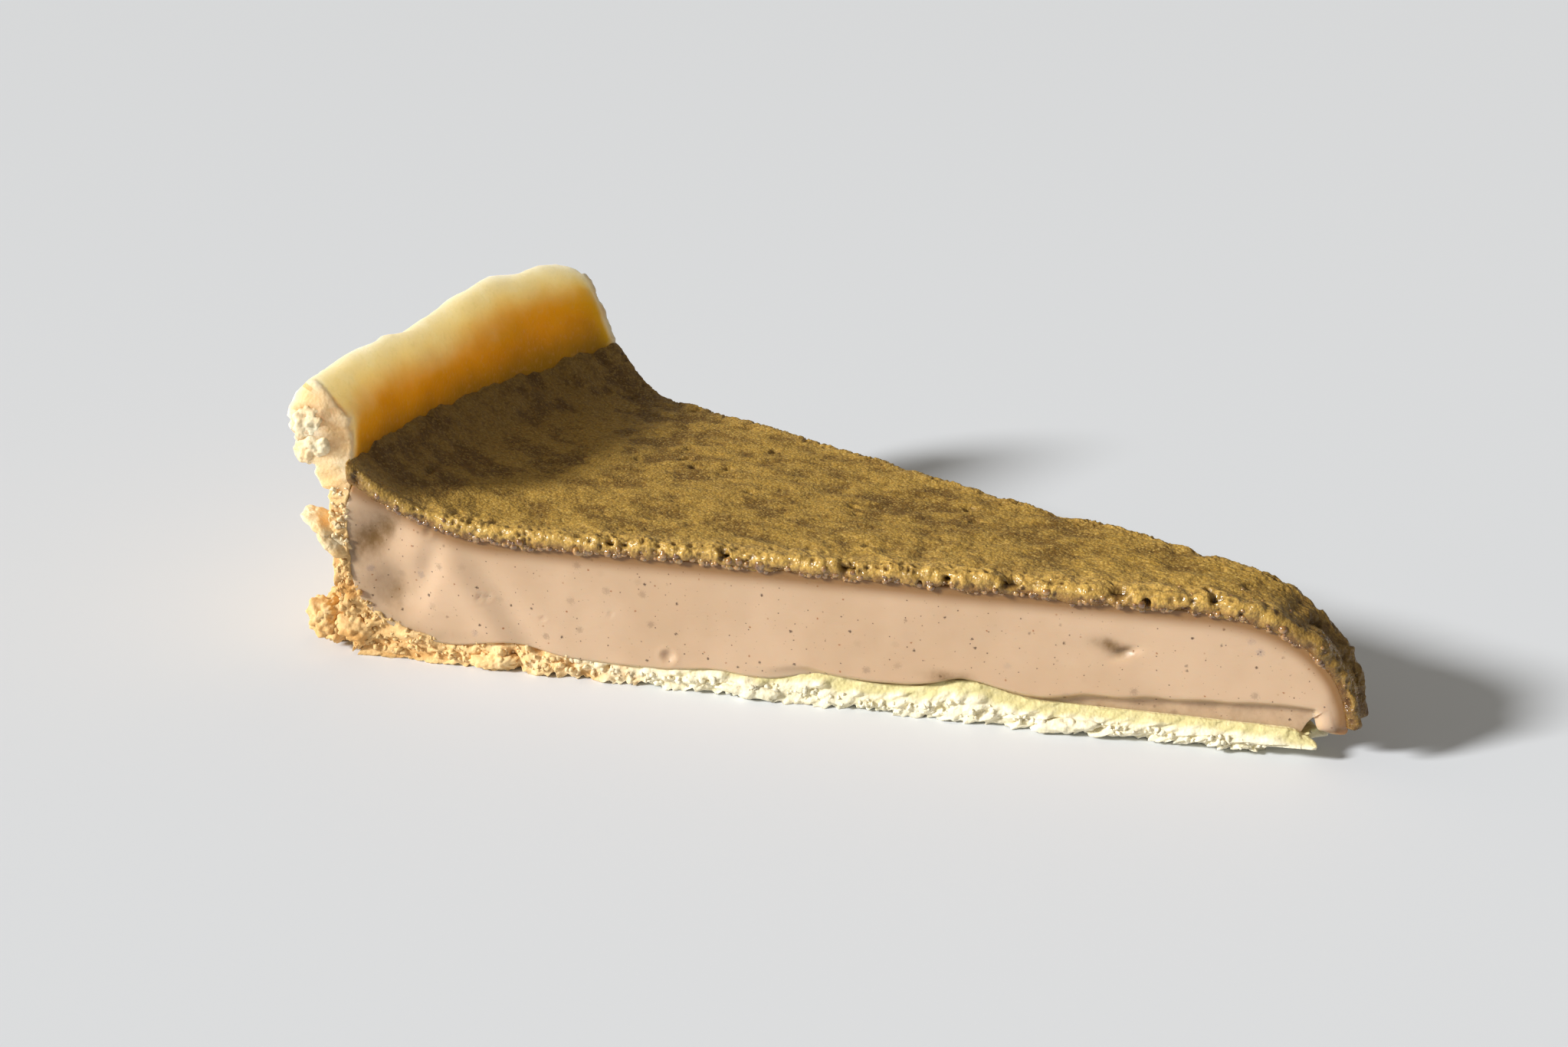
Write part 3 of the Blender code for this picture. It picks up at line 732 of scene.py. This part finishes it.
smear_x, smear_z = custard_radius - SMEAR_RADIUS, custard_height - SMEAR_HEIGHT
smear_along, smear_up = 0.96 * smear_x + 0.28 * smear_z, 0.96 * smear_z - 0.28 * smear_x
smear = hump(smear_along, 0, 0.0024) * hump(smear_up, 0, 0.0010)
by_wall = ease(custard_radius, 0.1085, 0.1172) * ease(custard_height, 0.0215, 0.0180)
by_foot = ease(custard_radius, 0.094, 0.102) * ease(custard_height, 0.0062, 0.0040)
custard_numbers = {
    "browning": np.clip(1.1 * ease(below_top, 0.0031, 0.0006) ** 1.6, 0, 1),
    # painted shade in the hollows and on the recessed ledge, the brown smear, and darker by the wall's
    # top and foot
    "stain_and_shade": (
        patches(custard_radius, custard_height, FACE_SHADE_AND_STAINS) + 0.75 * smear
        + 0.50 * custard_ledge * (custard_points[:, 1] < 0) + 0.24 * by_wall + 0.22 * by_foot
    ),
}
filling = make_piece("custard_filling_set", custard_points, custard_faces, custard, custard_numbers)
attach(filling, "root")
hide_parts("custard_filling")

# The browned froth. Bubbles that rose to the top of the custard, set and baked brown: a skin about
# 2 mm thick, wrinkled at the slumped tip, finely pitted all over, with open bubbles along the cut.
# It lies on the custard and ends against the wall.

FROTH_THICKNESS, FROTH_TIP_THICKNESS, FROTH_WALL_THICKNESS = 0.0017, 0.0013, 0.0013
FROTH_OVERHANG, FROTH_START = 0.0006, 0.010
N_END, N_ALONG, N_LIP, N_TOP = 8, 552, 14, 132  # cells round the tip's end, along, round a lip, over
COARSER = 8                     # the underside has an eighth of the upper side's cells
LIP_LEVEL, LIP_REACH = 0.46, 0.54
LIP_HOLES = [
    (0.0398, 0.0181, 0.00085), (0.0281, 0.0181, 0.00090), (0.0577, 0.0180, 0.00045),
    (0.0252, 0.0174, 0.00045), (0.0470, 0.0178, 0.00035), (0.0212, 0.0168, 0.00045),
    (0.0858, 0.0181, 0.00040),
]
RAGGED_END = [(0.0014, 0.0060, 61), (0.0006, 0.0018, 62)]
DRIPS = [(1.1, 0.0023, 57), (0.9, 0.0009, 60)]
PIT_SIZE, BLOB_SIZE, BUBBLE_SIZE = 0.0026, 0.0019, 0.00085
PIT_HOLLOW, BLOB_RISE, DRIP_LENGTH = 0.00085, 0.00062, 0.00042
# The gold colour is partly the cut foam's own lighter colour and partly painted light on the lit,
# translucent edge.
OLIVE, STRAW, GOLD_AND_LIGHT = (0.185, 0.097, 0.010), (0.41, 0.245, 0.040), (0.68, 0.43, 0.110)
# The darkest brown is also painted shade in the pits and between the foam's pebbles.
DARK_BROWN_AND_SHADE, SYRUP, HONEY = (0.070, 0.030, 0.005), (0.19, 0.080, 0.020), (0.72, 0.50, 0.15)


def froth_base(share, lift, across, proud):
    """The froth before its relief: the custard's outline moved out square to itself by lift times
    the froth's thickness, turning to straight up where it meets the wall."""
    top = custard_top(np.clip(share, 0, 1), across)
    before = custard_top(np.clip(share - 0.002, 0, 1), across)
    after = custard_top(np.clip(share + 0.002, 0, 1), across)
    way = (after - before) / np.linalg.norm(after - before, axis=-1, keepdims=True)
    thick = FROTH_TIP_THICKNESS + (FROTH_THICKNESS - FROTH_TIP_THICKNESS) * ease(share, 0.02, TIP_SHARE)
    thick = thick + (FROTH_WALL_THICKNESS - thick) * ease(share, 0.85, 1.0)
    near_wall = ease(share, 0.90, 1.0)
    radius = top[..., 0] - way[..., 1] * thick * lift * (1 - near_wall) + near_wall * 0.0006
    height = top[..., 1] + way[..., 0] * thick * lift
    return on_arc(radius, across, height, proud)


def round_edge(grid):
    """The numbers round a grid's edge, once round from its first corner."""
    return np.concatenate([grid[:-1, 0], grid[-1, :-1], grid[:0:-1, -1], grid[0, :0:-1]])


def seam(fine, coarse):
    """Triangles between a fine ring and a coarser one: a triangle from each fine stretch to the
    nearest coarse point, and one from each coarse stretch back."""
    step = len(fine) // len(coarse)
    f, c = np.arange(len(fine)), np.arange(len(coarse))
    nearest = ((f + step // 2) // step) % len(coarse)
    wide = np.stack([fine[f], fine[(f + 1) % len(fine)], coarse[nearest]], -1)
    middle = (c * step + step - step // 2) % len(fine)
    narrow = np.stack([fine[middle], coarse[(c + 1) % len(coarse)], coarse[c]], -1)
    return np.concatenate([wide, narrow])


along_share = evenly(custard_top, N_ALONG, FROTH_START)
end_turn = np.radians(90) * np.arange(N_END) / N_END
end_lift = np.concatenate([np.sin(end_turn), np.ones(N_ALONG + 1)])[:, None]
end_out = np.concatenate([np.cos(end_turn) * np.sin(end_turn) * 2, np.zeros(N_ALONG + 1)])[:, None]
lip_turn = np.radians(90) * np.linspace(-1, 1, N_LIP + 1)[:-1]
lip_lift, lip_out = LIP_LEVEL + LIP_REACH * np.sin(lip_turn), FROTH_OVERHANG * np.cos(lip_turn)
top_across = -1 + 2 * np.linspace(0, 1, N_TOP + 1) ** 1.22
share, lift, across, proud = np.broadcast_arrays(
    np.concatenate([np.full(N_END, FROTH_START), along_share])[:, None],
    end_lift * np.concatenate([lip_lift, np.ones(N_TOP + 1), lip_lift[::-1]]),
    np.concatenate([-np.ones(N_LIP), top_across, np.ones(N_LIP)]),
    np.concatenate([lip_out, np.zeros(N_TOP + 1), lip_out[::-1]]),
)
froth_points = froth_base(share, lift, across, proud)
froth_points[..., 2] -= 0.0005 * end_out
ragged = 0.0012 + noise(froth_points * (0, 1, 0), RAGGED_END)
froth_points[..., 2] += ease(share, 0.955, 1.0) * ragged * ease(lift, 0.0, 1.0)
froth_radius = np.hypot(froth_points[..., 0] - CENTRE_X, froth_points[..., 1])
inward = from_cut(froth_radius, across)
near_side = across < 0
on_lip = np.exp(-((inward / 0.0015) ** 2))
by_edge = np.exp(-((inward / 0.0060) ** 2)) * near_side
by_edge = by_edge * (0.35 + 0.65 * ease(froth_radius, 0.085, 0.045))
at_tip = ease(share, 0.30, 0.12)
outward = np.cross(np.gradient(froth_points, axis=1), np.gradient(froth_points, axis=0))
outward /= np.maximum(np.linalg.norm(outward, axis=-1, keepdims=True), 1e-12)
outward *= np.sign(np.mean(outward[N_END + 60, N_LIP:-N_LIP, 2]))

along_tart = stacked(froth_radius, froth_points[..., 1] * 1.6, froth_points[..., 2])
swell = 0.00028 * ripples(froth_points, 0.0095, 51) + 0.00022 * ripples(along_tart, 0.0045, 52)
folds = 0.42 - np.abs(ripples(froth_points, 0.0042, 53)) + 0.35 * ripples(froth_points, 0.0019, 59)
swell = swell + (0.00012 + 0.00052 * at_tip + 0.00040 * by_edge * (1 - at_tip)) * folds
swell = swell + 0.00016 * ripples(froth_points, 0.0022, 63) * (0.6 + on_lip + at_tip)
pits, _, pit_own = grains(froth_points, PIT_SIZE, 54)
open_pit = ease(pit_own, 0.93, 0.98) + (on_lip + 0.4 * by_edge) * ease(pit_own, 0.55, 0.7)
open_pit += at_tip * ease(pit_own, 0.6, 0.75)
pits = pits + 0.16 * ripples(froth_points, 0.0009, 66)
pit_depth = np.clip(open_pit, 0, 1) * ease(pits, 0.38, 0.10)
uneven = 0.30 * ripples(froth_points, 0.0011, 64)
for at, level, size in LIP_HOLES:
    away = np.hypot((froth_radius - at) / 1.2, froth_points[..., 2] - level)
    away = np.hypot(away, inward) / size + uneven
    pit_depth = np.maximum(pit_depth, 1.25 * ease(away, 1.15, 0.45) * near_side)
blobs, blob_next, blob_own = grains(froth_points, BLOB_SIZE, 65)
blob_zone = on_lip * near_side * ease(froth_radius, 0.105, 0.070) + 0.5 * by_edge + 0.55 * at_tip
blob_zone = blob_zone.clip(0, 1)
bubbles, bubble_next, bubble_own = grains(froth_points, BUBBLE_SIZE, 55)
hollow = ease(bubbles, 0.52, 0.12) * ease(bubble_own, 0.25, 0.8)
between = ease(bubble_next - bubbles, 0.30, 0.0)
lively = 0.35 + 0.65 * ease(ripples(froth_points, 0.0060, 58), -0.3, 0.4)
foam = (0.00004 * between - 0.00008 * hollow) * (1 - on_lip)
foam = foam + lively * (0.00020 * between - 0.00050 * hollow) * on_lip
relief = swell + foam - PIT_HOLLOW * pit_depth * (0.7 + 0.5 * on_lip)
relief += BLOB_RISE * blob_zone * (0.45 - blobs**2) * (0.3 + 0.7 * blob_own)
relief += 0.00005 * ripples(froth_points, 0.0006, 56)
relief *= ease(lift, -0.3, 0.5) * (1 - 0.6 * ease(share, 0.97, 1.0))
relief *= 1 - 0.7 * ease(share, 0.05, 0.01)
froth_points = froth_points + outward * relief[..., None]
drip = ease(lift, 0.55, -0.2) * (proud > 0)
sag = (0.5 + noise(froth_points, DRIPS)) * ease(share, 0.03, 0.12)
froth_points[..., 2] -= drip * DRIP_LENGTH * sag

upper = np.arange(share.size).reshape(share.shape)
under_share = np.concatenate([[0.012, 0.014], along_share[COARSER:-COARSER:COARSER], [0.995]])
under_across = np.linspace(-0.985, 0.985, (share.shape[1] - 1) // COARSER + 1)
under_points = froth_base(*np.broadcast_arrays(under_share[:, None], 0.02, under_across, 0.0))
under = upper.size + np.arange(under_points[..., 0].size).reshape(under_points.shape[:2])
froth_faces = [grid_quads(upper.T), grid_quads(under), seam(round_edge(upper), round_edge(under))]
froth_all = np.concatenate([froth_points.reshape(-1, 3), under_points.reshape(-1, 3)])


def with_under(values):
    """A number for each point of the froth's upper side, and 0 for each point below."""
    return np.concatenate([np.broadcast_to(values, upper.shape).ravel(), np.zeros(under.size)])


browned = Finish(
    "Browned froth", Specular_IOR_Level=0.45, Subsurface_Weight=0.15, Subsurface_Scale=0.0010,
    Subsurface_Radius=(1.0, 0.5, 0.12),
)
mottle = browned.cloud(330, 3, 0.6, (0.8, 1, 1)) + browned.cloud(110) * 0.5
# Painted shade: the froth darker where its swell is low.
mottle = mottle + browned.stored("low") * -0.28 + 0.14
colour = browned.blend(mottle.rise(0.60, 0.84), OLIVE, STRAW)
# The lip and the top near the cut in a lighter gold: partly the foam's own colour, partly painted light.
colour = browned.blend(browned.stored("lip") * 0.75, colour, GOLD_AND_LIGHT)
pebble, _ = browned.spots(2600)
tiny, tiny_own = browned.spots(4600, shift=(2.0, 1.0, 3.0))
# Painted shade between the foam's fine pebbles, where the bump is low.
colour = browned.blend(pebble.rise(0.40, 0.80, 0.0, 0.38), colour, DARK_BROWN_AND_SHADE)
colour = browned.blend(tiny_own.rise(0.62, 1.0, 0.0, 0.42), colour, HONEY)
# Painted shade in the open pits and holes and between the blobs.
colour = browned.blend(browned.stored("pit"), colour, DARK_BROWN_AND_SHADE)
bled = browned.stored("foot") * browned.cloud(700, 3, 0.6).rise(0.30, 0.60, 0.35, 1.0)
colour = browned.blend(bled, colour, SYRUP)
dull = browned.cloud(1500, 3).rise(0.35, 0.65, 0.50, 0.76)
# Darker at the slumped tip and next to the wall.
browned.drive(
    Base_Color=browned.blend(browned.stored("darker_tip_and_wall"), colour, DARK_BROWN_AND_SHADE),
    Roughness=dull + browned.stored("wet") * -0.42,
)
fine_foam = pebble * -0.7 + tiny * -0.35 + browned.cloud(900, 3) * 0.5
browned.emboss(fine_foam, 0.00015, 0.7)

# Painted shade in the pits, the holes and the bubbles, and in the creases between blobs.
pit_shade = (0.50 + 0.30 * on_lip) * pit_depth + on_lip * 0.6 * hollow + 0.15 * hollow
pit_shade = pit_shade + 0.35 * blob_zone * ease(blob_next - blobs, 0.22, 0.02)
foot = ease(lift, 0.66, 0.12) * (proud > 0)
glossy = on_lip * near_side + 0.3 * on_lip + 0.25 * at_tip + 0.3 * by_edge
froth_numbers = {
    # lighter gold: own colour and painted light
    "lip": with_under(np.clip(on_lip * (1.1 * near_side + 0.3) + 0.35 * by_edge, 0, 1)),
    # painted shade where the swell is low
    "low": with_under(np.clip(0.5 - swell / 0.00045, 0, 1)),
    # painted shade in the pits
    "pit": with_under(np.clip(pit_shade, 0, 1)),
    "foot": with_under(0.9 * foot + 0.3 * ease(share, 0.05, 0.0)),
    "wet": with_under(np.clip(glossy, 0, 1)),
    # darker at the slumped tip and by the wall
    "darker_tip_and_wall": with_under(0.40 * ease(share, 0.90, 0.98) + 0.58 * ease(share, 0.26, 0.12)),
}
froth = make_piece("browned_froth_skin", froth_all, froth_faces, browned, froth_numbers)
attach(froth, "root")
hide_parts("browned_froth_top")

# The beads along the froth's cut edge. Syrup that bled out of the froth and set in drops: brown,
# very glossy, 0.2 to 1.2 mm across, in clusters at the foot of the edge that shows and at the tip.

BEAD_TRIES, TIP_BEADS, LARGE_BEADS = 1400, 150, 70
BEAD_EMBEDDED = 0.40            # share of its radius that a bead's centre lies under the froth
DARK_SYRUP, CLEAR_SYRUP = (0.16, 0.066, 0.014), (0.42, 0.22, 0.055)


def balls(count_round, rings):
    """A ball of unit radius: rings of points between two poles, and its faces as triangles."""
    turn = np.linspace(0, 2 * np.pi, count_round, endpoint=False)
    fall = np.linspace(0, np.pi, rings + 2)[1:-1, None]
    ring = stacked(np.sin(fall) * np.cos(turn), np.sin(fall) * np.sin(turn), np.cos(fall))
    n = np.arange(count_round)
    after = (n + 1) % count_round
    top, bottom = rings * count_round, rings * count_round + 1
    faces = [np.stack([np.full_like(n, top), n, after], -1)]
    for first in range(0, top - count_round, count_round):
        a, b, c, d = first + n, first + after, first + count_round + n, first + count_round + after
        faces += [np.stack([a, c, b], -1), np.stack([b, c, d], -1)]
    last = top - count_round
    faces.append(np.stack([last + n, np.full_like(n, bottom), last + after], -1))
    return np.concatenate([ring.reshape(-1, 3), [[0, 0, 1], [0, 0, -1]]]), np.concatenate(faces)


def scatter(shape, faces, places, sizes, spin):
    """Copies of a shape: each scaled along three axes, turned, and set at its place."""
    points = places[:, None] + np.einsum("nij,nkj->nki", spin, shape * sizes[:, None])
    copies = faces + len(points[0]) * np.arange(len(places))[:, None, None]
    return points.reshape(-1, 3), copies.reshape(-1, 3)


def turns(dice, count):
    """Turning matrices with random axes."""
    q, _ = np.linalg.qr(dice.normal(size=(count, 3, 3)))
    return q * np.sign(np.linalg.det(q))[:, None, None]


dice = np.random.default_rng(7)
row = dice.integers(40, N_END + N_ALONG - 14, BEAD_TRIES)
clusters = ripples(stacked(row * 0.22, 0.0, 0.0), 1.0, 67)
row = row[clusters + 0.5 * dice.random(BEAD_TRIES) > 0.28]
column = np.minimum(np.abs(dice.normal(1.0, 3.2, len(row))).astype(int), N_LIP + 6)
row = np.append(row, dice.integers(10, 130, TIP_BEADS))
column = np.append(column, dice.integers(0, N_LIP + 60, TIP_BEADS))
bead_size = 0.00011 + 0.00038 * dice.random(len(row)) ** 2.4
bead_size *= 1 + 0.30 * ease(froth_radius[row, column], 0.055, 0.075)
bead_size[-TIP_BEADS:] *= 0.6
bead_size[:LARGE_BEADS] = 0.00030 + 0.00030 * dice.random(LARGE_BEADS)
column[:LARGE_BEADS] = dice.integers(1, 8, LARGE_BEADS)
bead_at = froth_points[row, column] - outward[row, column] * bead_size[:, None] * BEAD_EMBEDDED
bead_at[:, 2] -= 0.0001 * dice.random(len(row))
ball, ball_faces = balls(8, 4)
squash = bead_size[:, None] * np.array([1.0, 1.0, 0.8])
bead_points, bead_faces = scatter(ball, ball_faces, bead_at, squash, turns(dice, len(row)))
syrup = Finish(
    "Syrup beads", Roughness=0.12, Specular_IOR_Level=1.0, Coat_Weight=1.0, Coat_Roughness=0.06,
    Subsurface_Weight=0.2, Subsurface_Scale=0.0006,
)
syrup.drive(Base_Color=syrup.blend(syrup.cloud(900).rise(0.35, 0.65), DARK_SYRUP, CLEAR_SYRUP))
beads = make_piece("syrup_beads", bead_points, [bead_faces], syrup, {})
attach(beads, "root")

# The broken crumbs of the case: lumps and a flake that cling to the foot and the rim of the wall
# where the cut shows, and small grains of pastry all over the two cut faces and their lower edge.

# Each lump is a radius, a place across, a height, three sizes and a tilt in degrees.
LUMPS = [
    (0.1216, -0.83, 0.0030, (0.0036, 0.0048, 0.0030), 0),
    (0.1232, -0.91, 0.0036, (0.0024, 0.0026, 0.0026), 25),
    (0.1226, -0.74, 0.0020, (0.0028, 0.0026, 0.0020), 10),
    (0.1212, -0.95, 0.0158, (0.0038, 0.0024, 0.0010), 32),
    (0.1204, -0.99, 0.0143, (0.0023, 0.0016, 0.0010), 40),
    (0.1219, -0.965, 0.0262, (0.0026, 0.0018, 0.0018), -25),
    (0.1224, -0.955, 0.0292, (0.0022, 0.0018, 0.0023), 30),
    (0.1185, -0.985, 0.0034, (0.0024, 0.0014, 0.0018), 25),
    (0.1010, -0.99, 0.0012, (0.0034, 0.0012, 0.0009), -6),
    (0.0700, -0.99, 0.0011, (0.0040, 0.0012, 0.0009), 5),
    (0.0330, -0.985, 0.0012, (0.0040, 0.0012, 0.0009), -5),
    (0.1222, 0.97, 0.0278, (0.0024, 0.0018, 0.0020), 25),
]
LUMP_BUMPS = [(0.36, 0.0024, 71), (0.22, 0.0010, 72), (0.10, 0.00055, 74)]
NEAR_GRAINS, FAR_GRAINS = 620, 480


def lump_body(shape, count, radius, across, height, sizes, tilt):
    """A ball stretched to three sizes, its radius uneven by noise and clods, tilted, turned to
    face out from the tart's centre and set at its place, flat where it meets the floor."""
    place = on_arc(np.array(radius), np.array(across), np.array(height))
    facing, tilted = np.arctan2(place[1], place[0] - CENTRE_X), np.radians(-tilt)
    lean = np.array([
        [np.cos(tilted), 0, np.sin(tilted)], [0, 1, 0], [-np.sin(tilted), 0, np.cos(tilted)]])
    face = np.array([
        [np.cos(facing), -np.sin(facing), 0], [np.sin(facing), np.cos(facing), 0], [0, 0, 1]])
    body = shape * np.array(sizes)
    clod, _, own = grains(body + count, CLOD_SIZE, 73)
    bumps = noise(body + count, LUMP_BUMPS)
    bumps += 0.20 * (ease(clod, 0.65, 0.1) * (0.5 + 0.5 * own) - 0.4)
    rough = 0.9 if height < 0.012 else 0.45 if height < 0.018 else 0.65
    body = body * (1 + rough * bumps)[:, None] @ (face @ lean).T + place
    body[:, 2] = np.maximum(body[:, 2], 0.0)
    return body


lump, lump_faces = balls(72, 44)
lumps = np.concatenate([lump_body(lump, count, *row) for count, row in enumerate(LUMPS)])
lumps_faces = [lump_faces + len(lump) * count for count in range(len(LUMPS))]

grain, grain_faces = balls(7, 3)
bare = (case_up > 0.15) & ((case_up < 0.55) | (case_radius > 0.088)) & (case_height < 0.0215)
picked = np.concatenate([
    dice.choice(np.flatnonzero((case_across == -1) & bare), NEAR_GRAINS),
    dice.choice(np.flatnonzero((case_across == 1) & bare), FAR_GRAINS),
])
grain_size = 0.00012 + 0.00026 * dice.random(len(picked)) ** 1.6
grain_at = case_points[picked] + dice.normal(scale=0.00008, size=(len(picked), 3))
grain_at[:, 2] = np.maximum(grain_at[:, 2], 0.7 * grain_size)
rough_grain = grain * (1 + 0.35 * dice.normal(size=(len(picked), len(grain), 1)).clip(-1, 1))
sizes = grain_size[:, None] * dice.uniform(0.6, 1.4, (len(picked), 3))
grain_points, grains_faces = scatter(rough_grain, grain_faces, grain_at, sizes, turns(dice, len(picked)))
crumb_points = np.concatenate([lumps, grain_points])
crumb_radius = np.hypot(crumb_points[:, 0] - CENTRE_X, crumb_points[:, 1])
crumb_height = crumb_points[:, 2]
paler = 0.40 * ease(crumb_height, 0.012, 0.015) + 0.12 * ease(crumb_height, 0.020, 0.024)
crumb_numbers = {
    "relief": np.full(len(crumb_points), 0.6),
    "cut": np.full(len(crumb_points), 0.75),
    "thin": np.zeros(len(crumb_points)),
    "golden": ease(crumb_radius, 0.062, 0.112) * (1 - paler),
    "heel": 0.8 * ease(crumb_height, 0.0170, 0.0100) * ease(crumb_radius, 0.100, 0.119),
}
crumb_faces = [*lumps_faces, grains_faces + len(lumps)]
crumbs = make_piece("pastry_crumbs", crumb_points, crumb_faces, pastry, crumb_numbers)
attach(crumbs, "root")

# The camera stands where the photograph was taken, at the slice's near side and 22 degrees above
# it. The floor is a plain pale sheet, and one broad low lamp from the left gives the window's light.

FLOOR_REACH = 4.0
CAMERA_PLACE = (0.1038, -0.2143, 0.1128)
CAMERA_HEADING, CAMERA_PITCH = np.radians(28.0), np.radians(22.0)
LAMP_SIDE, LAMP_STRENGTH, LAMP_WIDTH = (-0.61, -0.65, 0.45), 4.85, np.radians(11)
LAMP_COLOUR, ROOM_COLOUR, ROOM_STRENGTH = (1.0, 0.975, 0.94), (1.0, 0.93, 0.81, 1.0), 0.27

pale = Finish("Pale floor", Base_Color=(0.745, 0.785, 0.845), Roughness=0.6, Specular_IOR_Level=0.2)
corners = FLOOR_REACH * np.array([(-1, -1, 0), (1, -1, 0), (1, 1, 0), (-1, 1, 0)])
floor = make_piece("floor", corners, [np.arange(4)[None]], pale, {})

camera = bpy.data.objects.new("camera", bpy.data.cameras.new("camera"))
bpy.context.scene.collection.objects.link(camera)
camera.data.lens, camera.data.sensor_width = 50.0, 36.0
camera.data.clip_start, camera.data.clip_end = 0.01, 20.0
camera.location = CAMERA_PLACE
ahead = Vector((
    -np.sin(CAMERA_HEADING) * np.cos(CAMERA_PITCH),
    np.cos(CAMERA_HEADING) * np.cos(CAMERA_PITCH),
    -np.sin(CAMERA_PITCH),
))
camera.rotation_euler = ahead.to_track_quat("-Z", "Y").to_euler()
bpy.context.scene.camera = camera

window = bpy.data.objects.new("window", bpy.data.lights.new("window", "SUN"))
bpy.context.scene.collection.objects.link(window)
window.data.energy, window.data.angle, window.data.color = LAMP_STRENGTH, LAMP_WIDTH, LAMP_COLOUR
window.rotation_euler = Vector(LAMP_SIDE).to_track_quat("Z", "Y").to_euler()

room = bpy.data.worlds.new("room")
room.use_nodes = True
background = room.node_tree.nodes["Background"]
background.inputs["Color"].default_value = ROOM_COLOUR
background.inputs["Strength"].default_value = ROOM_STRENGTH
bpy.context.scene.world = room
bpy.context.scene.view_settings.view_transform = "Standard"
